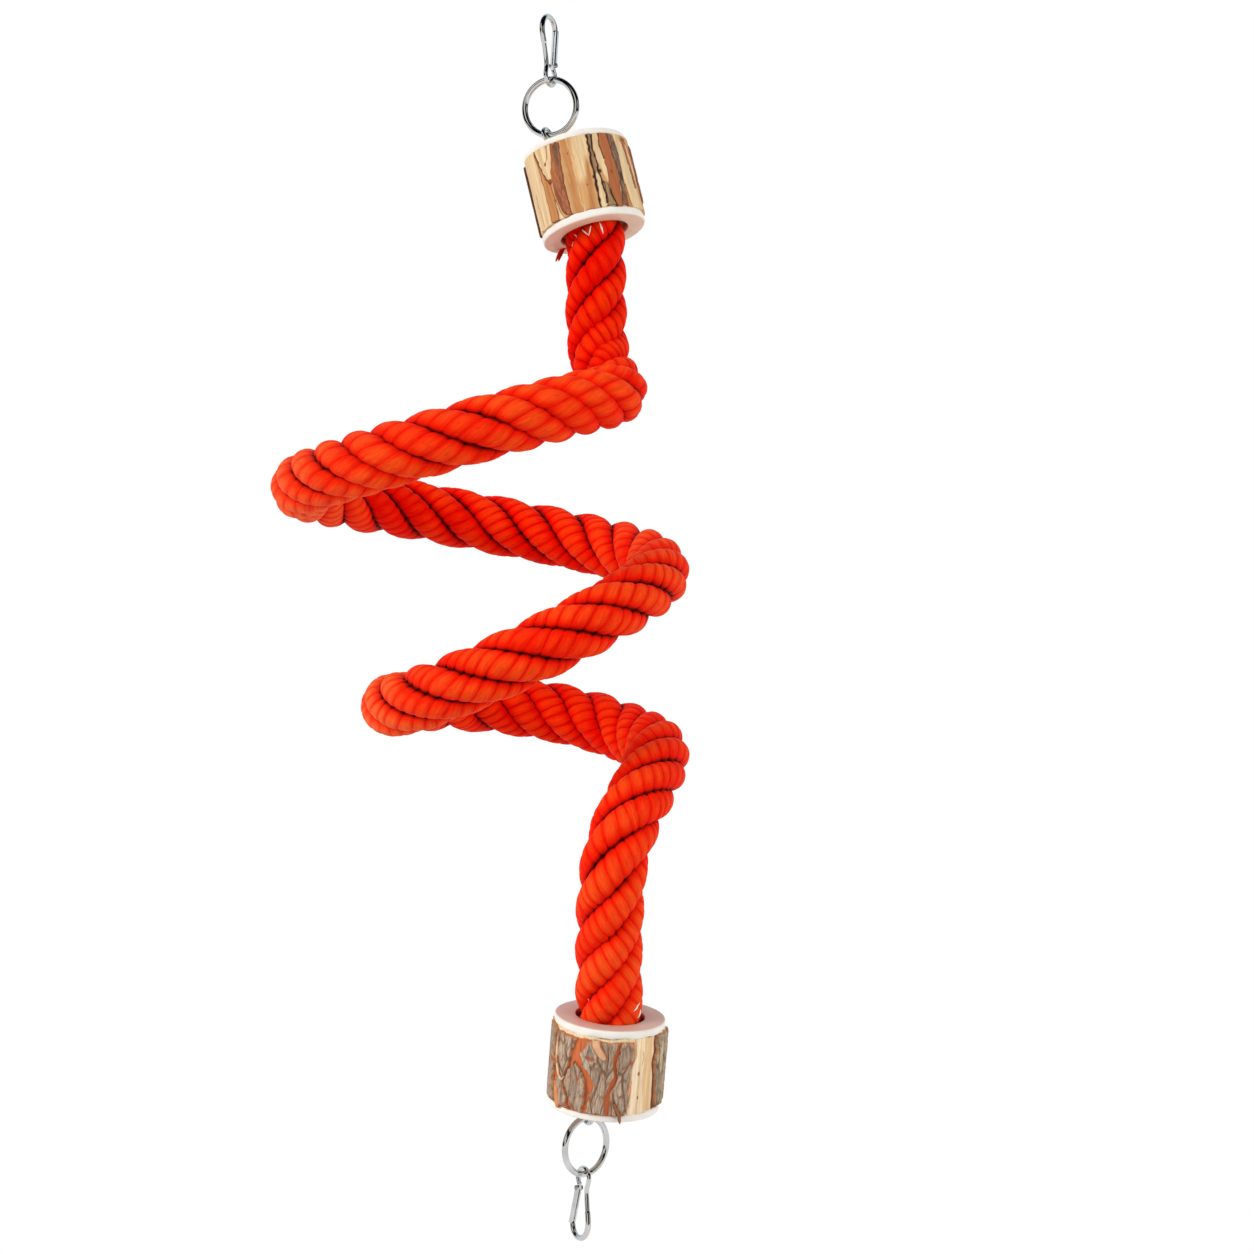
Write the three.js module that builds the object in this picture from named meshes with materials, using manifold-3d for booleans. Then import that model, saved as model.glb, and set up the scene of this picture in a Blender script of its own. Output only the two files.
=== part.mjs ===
// A hanging rope perch for a bird cage: a thick rope wound into a springy spiral, glued at both
// ends into drilled log blocks, each with an eye bolt, a ring and a snap clip.
// Millimetres, +Z up, +Y away from the viewer. The origin is the hang point, inside the upper clip's bow.
import * as THREE from 'three';
import { mergeVertices } from 'three/addons/utils/BufferGeometryUtils.js';
import Module from 'manifold-3d';

const wasm = await Module();
wasm.setup();

// Clearances
const SEAT_GAP = 0.3;
const PIVOT_GAP = 0.4;
const GLUE_GAP = 0.6;

// Snap clip, made of bent wire with a sprung gate; the waist is measured between wire middles
const CLIP_LENGTH = 55;
const CLIP_WIRE = 3.6;
const CLIP_BOW_WIDTH = 25;
const CLIP_EYE_ROOM = 6.7;
const CLIP_EYE_SPINE_ANGLE = 155;
const CLIP_EYE_TAIL_ANGLE = 365;
const CLIP_WAIST_WIDTH = 11.2;
const CLIP_WAIST_RISE = 8;
const CLIP_NOSE_RISE = 4;
const CLIP_TANG_THICKNESS = 1.8;
const CLIP_TANG_INSET = 0.1;
const CLIP_TONGUE_DEPTH = 1.4;
const CLIP_TONGUE_LENGTH = 3;
const GATE_WIDTH = 4.4;
const GATE_DEPTH = 3.8;
const GATE_WALL = 0.8;
const GATE_EDGE = 0.4;
const RIVET_DIAMETER = 1.8;
const RIVET_HEAD_DIAMETER = 3.6;
const RIVET_HEAD_HEIGHT = 0.8;
const GATE_SPRING_DIAMETER = 2.5;
const GATE_SPRING_WIRE = 0.5;
const GATE_SPRING_LENGTH = 9;
const GATE_SPRING_TURNS = 5;
const UPPER_CLIP_TURN = 64;
const UPPER_CLIP_LEAN = -2;
const LOWER_CLIP_TURN = 123;

// Welded ring
const RING_DIAMETER = 46.4;
const RING_WIRE = 4.7;
const UPPER_RING_TURN = -22;
const LOWER_RING_TURN = 44;
const LOWER_HANG_LEAN = 4;

// Eye bolt and its fasteners
const EYE_ROOM = 2.8;
const UPPER_EYE_SLANT_ROOM = 0.8;
const EYE_WIRE = 3.2;
const UPPER_EYE_SLIDE = 7;
const SHANK_DIAMETER = 5;
const SHANK_TAIL = 1.5;
const WASHER_DIAMETER = 14;
const WASHER_THICKNESS = 1.2;
const NUT_WIDTH = 8;
const NUT_HEIGHT = 5;

// Log blocks, measured along their own axis from the rope's mouth
const DISC_THICKNESS = 4.5;
const COLLAR_THICKNESS = 5.5;
const DISC_EDGE = 1;
const LOG_CHAMFER = 1.2;
const ROPE_GRIP = 47;
const NUT_POCKET = 9;
const END_WALL = 8;
const GLUE_THICKNESS = 1.4;
const GLUE_LENGTH = 32;
const GLUE_SET_BACK = 1.5;
const WHIPPING_LENGTH = 11;
const WHIPPING_THICKNESS = 1.2;
const WHIPPING_SET_BACK = 1;
const LOG_BROAD_LOBE = 0.7;
const LOG_SHALLOW_LOBE = 0.4;
const BARK_WANDER = 1.2;
const BARK_EDGE_SHARE = 0.55;

// Each strip or plate of bark: the angles it spans, seen from the front and counted to the right,
// how far it stops short of the log's two ends, and how thick it is
const UPPER_END = {
  name: 'upper',
  logDiameter: 78,
  discDiameter: 77,
  eyeOffset: 16.7,
  eyeStand: 15,
  eyeTurn: 60,
  front: -90,
  bark: [
    { from: -96, to: -80, mouthGap: 1, eyeGap: 1, thickness: 1.6 },
    { from: -34, to: -19, mouthGap: 1, eyeGap: 2, thickness: 1.1 },
    { from: 16, to: 26, mouthGap: 2, eyeGap: 1, thickness: 1.1 },
    { from: 40, to: 60, mouthGap: 1, eyeGap: 1, thickness: 1.3 },
    { from: 78, to: 96, mouthGap: 8, eyeGap: 6, thickness: 1.5 },
    { from: 150, to: 185, mouthGap: 3, eyeGap: 2, thickness: 1.5 },
  ],
};
const LOWER_END = {
  name: 'lower',
  logDiameter: 80,
  discDiameter: 81,
  eyeOffset: 10.5,
  eyeStand: 10,
  eyeTurn: 50,
  front: 90,
  bark: [
    { from: -98, to: -60, mouthGap: 0, eyeGap: 2, thickness: 3 },
    { from: -57, to: -36, mouthGap: 3, eyeGap: 1, thickness: 2.8 },
    { from: -33, to: -17, mouthGap: 4, eyeGap: 1, thickness: 2.4 },
    { from: -14, to: 7, mouthGap: 4, eyeGap: 1, thickness: 2.8 },
    { from: 10, to: 27, mouthGap: 4, eyeGap: 1, thickness: 2.6 },
    { from: 54, to: 84, mouthGap: 1, eyeGap: 1, thickness: 2.8 },
    { from: 92, to: 142, mouthGap: 2, eyeGap: 1, thickness: 3 },
    { from: 148, to: 204, mouthGap: 3, eyeGap: 2, thickness: 3 },
    { from: 210, to: 256, mouthGap: 2, eyeGap: 1, thickness: 2.8 },
  ],
};
const UPPER_TILT = -13.5;
const UPPER_TIP = -11.5;
const LOWER_TILT = 4.5;
const LOWER_TIP = 189.7;

// Rope and the wire that keeps its spiral
const ROPE_DIAMETER = 46;
const CORE_DIAMETER = 5;

// The spiral hugs an upright line on its right, and its loops shrink downward. Turns are counted
// from the right, by way of the front. Places are given from the upper block's mouth.
const COIL_RADIUS_UPPER = 133;
const COIL_RADIUS_LOWER = 99.5;
const COIL_RIGHT = 47.3;
const COIL_MIDDLE = 27.4;
const COIL_START_HEIGHT = -106.7;
const COIL_PITCH = 143;
const COIL_FIRST_TURN = 0.12;
const COIL_LAST_TURN = 1.9;
const COIL_NARROWS_FROM = 0.75;
const COIL_NARROWS_TO = 1.25;
const LEFT_DROOP_PER_TURN = 18.8;
const FRONT_DROOP = 6.7;
const FRONT_DROOP_PER_TURN = 7;
const CORNER_LIFT = 4.5;
const COIL_POINTS_PER_TURN = 24;

// The rope's straight stretches: above the spiral from the upper block's mouth, and below it from
// the spiral's lower end, as the lower block's mouth is
const ROPE_LEAD_IN = [
  [1, -5.6, -22],
  [1, -8.6, -50],
  [1.9, -10.6, -76],
  [4.2, -17.6, -96],
  [11, -31.6, -111],
  [16, -47.6, -120],
];
const ROPE_LEAD_OUT = [
  [17.6, -52.5, -9.7],
  [14.2, -90.5, -24.2],
  [2.2, -118.5, -45.7],
  [-7.8, -132.5, -66.7],
  [-14, -137.5, -90.1],
  [-16.5, -134.5, -114.7],
  [-17.6, -127.5, -144.7],
  [-17.8, -121, -174.7],
];
const LOWER_MOUTH = [-16.6, -115.5, -199.9];

// Facets
const ROPE_SIDES = 12;
const CORE_SIDES = 6;
const ROPE_STEPS = 116;
const PATH_DIVISIONS = 2000;
const WIRE_SIDES = 8;
const CLIP_STEPS = 48;
const BOW_POINTS = 14;
const EYE_POINTS = 12;
const RING_STEPS = 28;
const ROUND_SIDES = 28;
const SMALL_SIDES = 16;
const LOG_SIDES = 36;
const BARK_COLUMN = 7.5;
const BARK_ROWS = 5;
const SPRING_SIDES = 5;
const SPRING_STEPS_PER_TURN = 8;
const GAP_SAMPLES = 600;

const radians = THREE.MathUtils.degToRad;

const finishes = {
  rope: new THREE.MeshStandardMaterial({ color: 0xf9300c, roughness: 0.9, metalness: 0 }),
  wood: new THREE.MeshStandardMaterial({ color: 0xdfc095, roughness: 0.75, metalness: 0 }),
  bark: new THREE.MeshStandardMaterial({ color: 0x8c7460, roughness: 0.95, metalness: 0 }),
  disc: new THREE.MeshStandardMaterial({ color: 0xd9c4b8, roughness: 0.5, metalness: 0 }),
  metal: new THREE.MeshStandardMaterial({ color: 0xd0d2d4, roughness: 0.15, metalness: 1 }),
  steel: new THREE.MeshStandardMaterial({ color: 0x8f9194, roughness: 0.4, metalness: 1 }),
  glue: new THREE.MeshStandardMaterial({ color: 0xf4ead8, roughness: 0.4, metalness: 0 }),
  twine: new THREE.MeshStandardMaterial({ color: 0xe8e2d4, roughness: 0.9, metalness: 0 }),
};

function piece(name, geometry, finish) {
  const mesh = new THREE.Mesh(geometry, finishes[finish]);
  mesh.name = name;
  return mesh;
}

// Booleans
function solidOf(geometry) {
  const bare = geometry.clone();
  bare.deleteAttribute('normal');
  bare.deleteAttribute('uv');
  const merged = mergeVertices(bare, 1e-4);
  const vertProperties = new Float32Array(merged.attributes.position.array);
  const triVerts = new Uint32Array(merged.index.array);
  return new wasm.Manifold(new wasm.Mesh({ numProp: 3, vertProperties, triVerts }));
}

function geometryOf(solid) {
  const mesh = solid.getMesh();
  const geometry = new THREE.BufferGeometry();
  geometry.setAttribute('position', new THREE.BufferAttribute(mesh.vertProperties, 3));
  geometry.setIndex(new THREE.BufferAttribute(mesh.triVerts, 1));
  geometry.computeVertexNormals();
  return geometry;
}

function cut(geometry, ...tools) {
  return geometryOf(tools.reduce((solid, tool) => solid.subtract(solidOf(tool)), solidOf(geometry)));
}

function join(geometry, ...others) {
  return geometryOf(others.reduce((solid, other) => solid.add(solidOf(other)), solidOf(geometry)));
}

// Basic forms
function polygon(radius, sides) {
  const points = [];
  for (let side = 0; side < sides; side += 1) {
    const angle = (2 * Math.PI * side) / sides;
    points.push(new THREE.Vector2(radius * Math.cos(angle), radius * Math.sin(angle)));
  }
  return points;
}

function tube(path, radius, sides, steps, boreRadius = 0) {
  const section = new THREE.Shape(polygon(radius, sides));
  if (boreRadius > 0) section.holes.push(new THREE.Path(polygon(boreRadius, CORE_SIDES)));
  return new THREE.ExtrudeGeometry(section, { steps, extrudePath: path });
}

// Turns a profile of [radius, height] points about Z
function turned(profile, sides) {
  const points = profile.map(([radius, height]) => new THREE.Vector2(radius, height));
  return new THREE.LatheGeometry(points, sides).rotateX(Math.PI / 2);
}

function sleeve(innerRadius, outerRadius, low, high, sides) {
  const start = [innerRadius, low];
  return turned([start, [outerRadius, low], [outerRadius, high], [innerRadius, high], start], sides);
}

function rod(radius, low, high, sides) {
  return turned([[0, low], [radius, low], [radius, high], [0, high]], sides);
}

function block(low, high) {
  const size = high.map((value, axis) => value - low[axis]);
  const middle = high.map((value, axis) => (value + low[axis]) / 2);
  return new THREE.BoxGeometry(...size).translate(...middle);
}

function arcPoints(centre, radius, fromAngle, toAngle, count) {
  const points = [];
  for (let step = 0; step <= count; step += 1) {
    const angle = radians(fromAngle + ((toAngle - fromAngle) * step) / count);
    points.push(new THREE.Vector3(radius * Math.cos(angle), 0, centre + radius * Math.sin(angle)));
  }
  return points;
}

// The least gap between stretches of a round tube that lie well apart along it
function leastGap(path, diameter, samples) {
  const points = path.getSpacedPoints(samples);
  const stride = Math.ceil((2 * diameter * samples) / path.getLength());
  let least = Infinity;
  for (let first = 0; first < points.length; first += 1) {
    for (let second = first + stride; second < points.length; second += 1) {
      least = Math.min(least, points[first].distanceTo(points[second]));
    }
  }
  return least - diameter;
}

// Snap clip: in its own frame the bow's inside is at the origin, the eye hangs below and the gate is at +X
const clip = {};
clip.wireRadius = CLIP_WIRE / 2;
clip.bowRadius = (CLIP_BOW_WIDTH - CLIP_WIRE) / 2;
clip.eyeRadius = (RING_WIRE + CLIP_EYE_ROOM + CLIP_WIRE) / 2;
clip.bowCentre = clip.wireRadius - clip.bowRadius;
clip.eyeBottom = 3 * clip.wireRadius - CLIP_LENGTH;
clip.eyeCentre = clip.eyeBottom + clip.eyeRadius;
clip.pivot = new THREE.Vector3(CLIP_WAIST_WIDTH / 2, 0, clip.eyeCentre + CLIP_WAIST_RISE);
clip.bowRise = clip.bowCentre - clip.pivot.z;
clip.bowReach = Math.hypot(clip.pivot.x, clip.bowRise);
clip.flare = Math.asin(clip.bowRadius / clip.bowReach) - Math.atan2(clip.pivot.x, clip.bowRise);
clip.gateLength = Math.sqrt(clip.bowReach ** 2 - clip.bowRadius ** 2) + CLIP_NOSE_RISE;
clip.heel = GATE_DEPTH / 2 + PIVOT_GAP;
clip.springSeat = clip.wireRadius + PIVOT_GAP;

// Gate frame: origin at the pivot, +Z along the gate towards the bow, +X out of the hook
function inGateFrame(object) {
  object.position.copy(clip.pivot);
  object.rotation.y = clip.flare;
  return object;
}

function fromGateFrame(geometry) {
  const frame = inGateFrame(new THREE.Object3D());
  frame.updateMatrix();
  return geometry.applyMatrix4(frame.matrix);
}

function gatePoint(rise) {
  const direction = new THREE.Vector3(Math.sin(clip.flare), 0, Math.cos(clip.flare));
  return direction.multiplyScalar(rise).add(clip.pivot);
}

function crossRod(radius, halfWidth) {
  return rod(radius, -halfWidth, halfWidth, SMALL_SIDES).rotateX(Math.PI / 2);
}

function clipBody() {
  const noseLow = CLIP_NOSE_RISE / 2 / clip.bowRadius - clip.flare;
  const spineSide = Math.PI + clip.flare;
  const degrees = THREE.MathUtils.radToDeg;
  const bow = arcPoints(clip.bowCentre, clip.bowRadius, degrees(noseLow), degrees(spineSide), BOW_POINTS);
  const waist = new THREE.Vector3(-clip.pivot.x, 0, clip.pivot.z);
  const eyeAngles = [CLIP_EYE_SPINE_ANGLE, CLIP_EYE_TAIL_ANGLE];
  const eye = arcPoints(clip.eyeCentre, clip.eyeRadius, ...eyeAngles, EYE_POINTS);
  const tail = gatePoint(-clip.heel - clip.wireRadius / 2);
  const path = new THREE.CatmullRomCurve3([...bow, waist, ...eye, tail], false, 'centripetal');
  const wire = tube(path, clip.wireRadius, WIRE_SIDES, CLIP_STEPS);
  const noseTrim = block(
    [-2 * GATE_DEPTH, -CLIP_WIRE, clip.gateLength / 2],
    [2 * GATE_DEPTH, CLIP_WIRE, clip.gateLength + 2 * PIVOT_GAP],
  );
  const tangHalf = CLIP_TANG_THICKNESS / 2;
  const tangRadius = clip.wireRadius - CLIP_TANG_INSET;
  const tang = block([-tangRadius, -tangHalf, -clip.heel - clip.wireRadius], [tangRadius, tangHalf, 0]);
  const tangEnd = crossRod(tangRadius, tangHalf);
  const tongue = block(
    [-CLIP_TONGUE_DEPTH / 2, -tangHalf, clip.gateLength - CLIP_TONGUE_LENGTH],
    [CLIP_TONGUE_DEPTH / 2, tangHalf, clip.gateLength + CLIP_TONGUE_LENGTH / 2],
  );
  const ends = [tang, tangEnd, tongue].map(fromGateFrame);
  const hole = fromGateFrame(crossRod(RIVET_DIAMETER / 2 + SEAT_GAP, CLIP_WIRE));
  return cut(join(cut(wire, fromGateFrame(noseTrim)), ...ends), hole);
}

function clipGate() {
  const half = GATE_DEPTH / 2;
  const outline = new THREE.Shape();
  outline.moveTo(half, 0);
  outline.lineTo(half, clip.gateLength);
  outline.lineTo(-half, clip.gateLength);
  outline.lineTo(-half, 0);
  outline.absarc(0, 0, half, Math.PI, 2 * Math.PI, false);
  const bar = new THREE.ExtrudeGeometry(outline, {
    depth: GATE_WIDTH - 2 * GATE_EDGE,
    bevelThickness: GATE_EDGE,
    bevelSize: GATE_EDGE,
    bevelOffset: -GATE_EDGE,
    bevelSegments: 1,
    curveSegments: 6,
  }).translate(0, 0, GATE_EDGE - GATE_WIDTH / 2).rotateX(Math.PI / 2);
  const slotHalf = CLIP_TANG_THICKNESS / 2 + SEAT_GAP;
  const pivotSlot = block([-GATE_DEPTH, -slotHalf, -GATE_DEPTH], [GATE_DEPTH, slotHalf, clip.springSeat]);
  const noseSlot = block(
    [GATE_WALL - half, -slotHalf, clip.gateLength - CLIP_TONGUE_LENGTH - PIVOT_GAP],
    [GATE_DEPTH, slotHalf, clip.gateLength + GATE_DEPTH],
  );
  const pocketRadius = GATE_SPRING_DIAMETER / 2 + SEAT_GAP;
  const pocketTop = clip.springSeat + GATE_SPRING_LENGTH + 2 * SEAT_GAP;
  const pocket = rod(pocketRadius, clip.wireRadius, pocketTop, SMALL_SIDES);
  const hole = crossRod(RIVET_DIAMETER / 2 + SEAT_GAP, GATE_WIDTH);
  return cut(bar, pivotSlot, noseSlot, pocket, hole);
}

function clipRivet() {
  const shank = RIVET_DIAMETER / 2;
  const head = RIVET_HEAD_DIAMETER / 2;
  const seat = GATE_WIDTH / 2 + SEAT_GAP;
  const dome = seat + RIVET_HEAD_HEIGHT;
  const rim = seat + RIVET_HEAD_HEIGHT / 3;
  const profile = [
    [0, -dome], [head / 2, -dome], [head, -rim], [head, -seat], [shank, -seat],
    [shank, seat], [head, seat], [head, rim], [head / 2, dome], [0, dome],
  ];
  return turned(profile, SMALL_SIDES).rotateX(Math.PI / 2);
}

class Helix extends THREE.Curve {
  constructor(radius, turns, low, high) {
    super();
    Object.assign(this, { radius, turns, low, high });
  }

  getPoint(share, target = new THREE.Vector3()) {
    const angle = 2 * Math.PI * this.turns * share;
    const height = this.low + (this.high - this.low) * share;
    return target.set(this.radius * Math.cos(angle), this.radius * Math.sin(angle), height);
  }
}

const gateSpringPath = new Helix(
  (GATE_SPRING_DIAMETER - GATE_SPRING_WIRE) / 2,
  GATE_SPRING_TURNS,
  clip.springSeat + GATE_SPRING_WIRE / 2,
  clip.springSeat + GATE_SPRING_LENGTH - GATE_SPRING_WIRE / 2,
);

function gateSpring() {
  const steps = GATE_SPRING_TURNS * SPRING_STEPS_PER_TURN;
  return tube(gateSpringPath, GATE_SPRING_WIRE / 2, SPRING_SIDES, steps);
}

function snapClip(end) {
  const group = new THREE.Group();
  group.add(piece(`${end}_clip_body`, clipBody(), 'metal'));
  const gate = inGateFrame(new THREE.Group());
  gate.add(piece(`${end}_clip_gate`, clipGate(), 'metal'));
  gate.add(piece(`${end}_clip_rivet`, clipRivet(), 'steel'));
  gate.add(piece(`${end}_clip_spring`, gateSpring(), 'steel'));
  group.add(gate);
  return group;
}

// Ring: upright, centred on its own middle
const ringRadius = (RING_DIAMETER - RING_WIRE) / 2;

function weldedRing(end) {
  const geometry = new THREE.TorusGeometry(ringRadius, RING_WIRE / 2, WIRE_SIDES, RING_STEPS);
  return piece(`${end}_ring`, geometry.rotateX(Math.PI / 2), 'metal');
}

// How far the wire of a ring or clip that hangs in another piece's eye lies from that piece's wire
function hangStep(wireA, wireB) {
  return (wireA + wireB) / 2 + SEAT_GAP;
}

// Log block: in its own frame the rope's mouth is at the origin and +Z runs along the axis to the eye
const ropeRadius = ROPE_DIAMETER / 2;
const boreRadius = ropeRadius + GLUE_GAP + GLUE_THICKNESS + SEAT_GAP;
const boreDepth = ROPE_GRIP + NUT_POCKET;
const blockHeight = boreDepth + END_WALL + DISC_THICKNESS;
const eyeRadius = (RING_WIRE + EYE_ROOM + EYE_WIRE) / 2;
const wallSeat = boreDepth - SEAT_GAP;
const washerLow = wallSeat - WASHER_THICKNESS;
const nutHigh = washerLow - SEAT_GAP;
const nutLow = nutHigh - NUT_HEIGHT;

// A log isn't quite round: three broad lobes and five shallow ones
function logRadius(end, angle) {
  const lobes = LOG_BROAD_LOBE * Math.cos(3 * angle + 1) + LOG_SHALLOW_LOBE * Math.cos(5 * angle + 0.4);
  return end.logDiameter / 2 + lobes;
}

function eyeAxis(geometry, end) {
  return geometry.translate(-end.eyeOffset, 0, 0);
}

function logBody(end) {
  const low = COLLAR_THICKNESS + SEAT_GAP;
  const high = blockHeight - DISC_THICKNESS - SEAT_GAP;
  const outline = [];
  for (let side = 0; side < LOG_SIDES; side += 1) {
    const angle = (2 * Math.PI * side) / LOG_SIDES;
    const radius = logRadius(end, angle);
    outline.push(new THREE.Vector2(radius * Math.cos(angle), radius * Math.sin(angle)));
  }
  const log = new THREE.ExtrudeGeometry(new THREE.Shape(outline), {
    depth: high - low - 2 * LOG_CHAMFER,
    bevelThickness: LOG_CHAMFER,
    bevelSize: LOG_CHAMFER,
    bevelOffset: -LOG_CHAMFER,
    bevelSegments: 1,
  }).translate(0, 0, low + LOG_CHAMFER);
  const bore = rod(boreRadius, -1, boreDepth, ROUND_SIDES);
  const hole = eyeAxis(rod(SHANK_DIAMETER / 2 + SEAT_GAP, boreDepth - 1, blockHeight, SMALL_SIDES), end);
  return cut(log, bore, hole);
}

function collarDisc(end) {
  const outer = end.discDiameter / 2;
  const profile = [
    [boreRadius, DISC_EDGE], [boreRadius + DISC_EDGE, 0], [outer - DISC_EDGE, 0], [outer, DISC_EDGE],
    [outer, COLLAR_THICKNESS], [boreRadius, COLLAR_THICKNESS], [boreRadius, DISC_EDGE],
  ];
  return turned(profile, ROUND_SIDES);
}

function endDisc(end) {
  const outer = end.discDiameter / 2;
  const low = blockHeight - DISC_THICKNESS;
  const high = blockHeight;
  const profile = [[0, low], [outer, low], [outer, high - DISC_EDGE], [outer - DISC_EDGE, high], [0, high]];
  const hole = eyeAxis(rod(SHANK_DIAMETER / 2 + SEAT_GAP, low - 1, high + 1, SMALL_SIDES), end);
  return cut(turned(profile, ROUND_SIDES), hole);
}

function eyeBolt(end) {
  const eyeCentre = blockHeight + end.eyeStand;
  const loop = new THREE.TorusGeometry(eyeRadius, EYE_WIRE / 2, WIRE_SIDES, RING_STEPS);
  loop.rotateX(Math.PI / 2).rotateZ(radians(end.eyeTurn)).translate(0, 0, eyeCentre);
  const shank = rod(SHANK_DIAMETER / 2, nutLow - SHANK_TAIL, eyeCentre - eyeRadius, SMALL_SIDES);
  return eyeAxis(join(loop, shank), end);
}

function washer(end, low) {
  const hole = SHANK_DIAMETER / 2 + SEAT_GAP;
  return eyeAxis(sleeve(hole, WASHER_DIAMETER / 2, low, low + WASHER_THICKNESS, SMALL_SIDES), end);
}

function lockNut(end) {
  const corner = NUT_WIDTH / 2 / Math.cos(Math.PI / 6);
  const section = new THREE.Shape(polygon(corner, 6));
  section.holes.push(new THREE.Path(polygon(SHANK_DIAMETER / 2 + SEAT_GAP, SMALL_SIDES)));
  const nut = new THREE.ExtrudeGeometry(section, { depth: NUT_HEIGHT, bevelEnabled: false });
  return eyeAxis(nut.translate(0, 0, nutLow), end);
}

function glueSleeve() {
  const inner = ropeRadius + GLUE_GAP;
  return sleeve(inner, inner + GLUE_THICKNESS, GLUE_SET_BACK, GLUE_SET_BACK + GLUE_LENGTH, ROUND_SIDES);
}

function ropeWhipping() {
  const inner = ropeRadius + GLUE_GAP;
  const high = ROPE_GRIP - WHIPPING_SET_BACK;
  return sleeve(inner, inner + WHIPPING_THICKNESS, high - WHIPPING_LENGTH, high, ROUND_SIDES);
}

// A plate of bark lies on the log, thickest along its middle, with edges that wander a little
function barkPlate(end, plate) {
  const columns = Math.ceil((plate.to - plate.from) / BARK_COLUMN);
  const rows = BARK_ROWS;
  const low = COLLAR_THICKNESS + SEAT_GAP + plate.mouthGap;
  const high = blockHeight - DISC_THICKNESS - SEAT_GAP - plate.eyeGap;
  const side = Math.sign(end.front);
  const positions = [];
  for (const layer of [0, 1]) {
    for (let row = 0; row <= rows; row += 1) {
      for (let column = 0; column <= columns; column += 1) {
        const across = column / columns;
        const along = row / rows;
        const wander = BARK_WANDER * Math.sin(7 * along + plate.from);
        const spread = plate.from + (plate.to - plate.from) * across + wander;
        const angle = radians(end.front - side * spread);
        const crown = THREE.MathUtils.lerp(BARK_EDGE_SHARE, 1, Math.sin(Math.PI * across));
        const radius = logRadius(end, angle) + SEAT_GAP + layer * plate.thickness * crown;
        positions.push(radius * Math.cos(angle), radius * Math.sin(angle), low + (high - low) * along);
      }
    }
  }
  const corner = (layer, row, column) => (layer * (rows + 1) + row) * (columns + 1) + column;
  const triangles = [];
  const quad = (a, b, c, d) => triangles.push(a, b, c, a, c, d);
  for (let row = 0; row < rows; row += 1) {
    for (let column = 0; column < columns; column += 1) {
      const inner = [[row, column], [row, column + 1], [row + 1, column + 1], [row + 1, column]];
      quad(...inner.map(([r, c]) => corner(0, r, c)));
      quad(...inner.reverse().map(([r, c]) => corner(1, r, c)));
    }
    quad(corner(0, row + 1, 0), corner(1, row + 1, 0), corner(1, row, 0), corner(0, row, 0));
    quad(
      corner(0, row, columns), corner(1, row, columns),
      corner(1, row + 1, columns), corner(0, row + 1, columns),
    );
  }
  for (let column = 0; column < columns; column += 1) {
    quad(corner(0, 0, column), corner(1, 0, column), corner(1, 0, column + 1), corner(0, 0, column + 1));
    quad(
      corner(0, rows, column + 1), corner(1, rows, column + 1),
      corner(1, rows, column), corner(0, rows, column),
    );
  }
  if (side < 0) triangles.reverse();
  const geometry = new THREE.BufferGeometry();
  geometry.setAttribute('position', new THREE.Float32BufferAttribute(positions, 3));
  geometry.setIndex(triangles);
  geometry.computeVertexNormals();
  return geometry;
}

function logBlock(end) {
  const group = new THREE.Group();
  group.add(piece(`${end.name}_log`, logBody(end), 'wood'));
  group.add(piece(`${end.name}_collar_disc`, collarDisc(end), 'disc'));
  group.add(piece(`${end.name}_end_disc`, endDisc(end), 'disc'));
  group.add(piece(`${end.name}_eye_bolt`, eyeBolt(end), 'metal'));
  group.add(piece(`${end.name}_eye_washer`, washer(end, blockHeight + SEAT_GAP), 'steel'));
  group.add(piece(`${end.name}_nut_washer`, washer(end, washerLow), 'steel'));
  group.add(piece(`${end.name}_lock_nut`, lockNut(end), 'steel'));
  group.add(piece(`${end.name}_glue_sleeve`, glueSleeve(), 'glue'));
  group.add(piece(`${end.name}_rope_whipping`, ropeWhipping(), 'twine'));
  end.bark.forEach((plate, index) => {
    group.add(piece(`${end.name}_bark_${index + 1}`, barkPlate(end, plate), 'bark'));
  });
  return group;
}

// The middle of the eye's hole, in the block's frame
function eyeMiddle(end) {
  return new THREE.Vector3(-end.eyeOffset, 0, blockHeight + end.eyeStand);
}

// Assembly, from the hang point down
const toy = new THREE.Group();

const upperHanger = new THREE.Group();
upperHanger.rotation.y = radians(UPPER_CLIP_LEAN);
toy.add(upperHanger);

const upperClip = snapClip('upper');
upperClip.rotation.z = radians(UPPER_CLIP_TURN);
upperHanger.add(upperClip);

const upperRing = weldedRing('upper');
upperRing.rotation.z = radians(UPPER_RING_TURN);
upperRing.position.z = clip.eyeBottom + hangStep(CLIP_WIRE, RING_WIRE);
upperRing.position.applyEuler(upperHanger.rotation);
upperRing.position.z -= ringRadius;
toy.add(upperRing);

const upperBlock = logBlock(UPPER_END);
const eyeSlack = eyeRadius - hangStep(EYE_WIRE, RING_WIRE);
const eyeSlide = radians(UPPER_EYE_SLIDE);
const upperEye = new THREE.Vector3(-Math.sin(eyeSlide), 0, -Math.cos(eyeSlide)).multiplyScalar(ringRadius);
upperEye.applyEuler(upperRing.rotation).add(upperRing.position);
upperBlock.rotation.set(radians(UPPER_TIP), radians(UPPER_TILT), 0, 'YXZ');
upperEye.sub(new THREE.Vector3(0, 0, eyeSlack - UPPER_EYE_SLANT_ROOM).applyEuler(upperBlock.rotation));
upperBlock.position.copy(upperEye).sub(eyeMiddle(UPPER_END).applyEuler(upperBlock.rotation));
toy.add(upperBlock);

const upperMouth = upperBlock.position;

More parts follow.
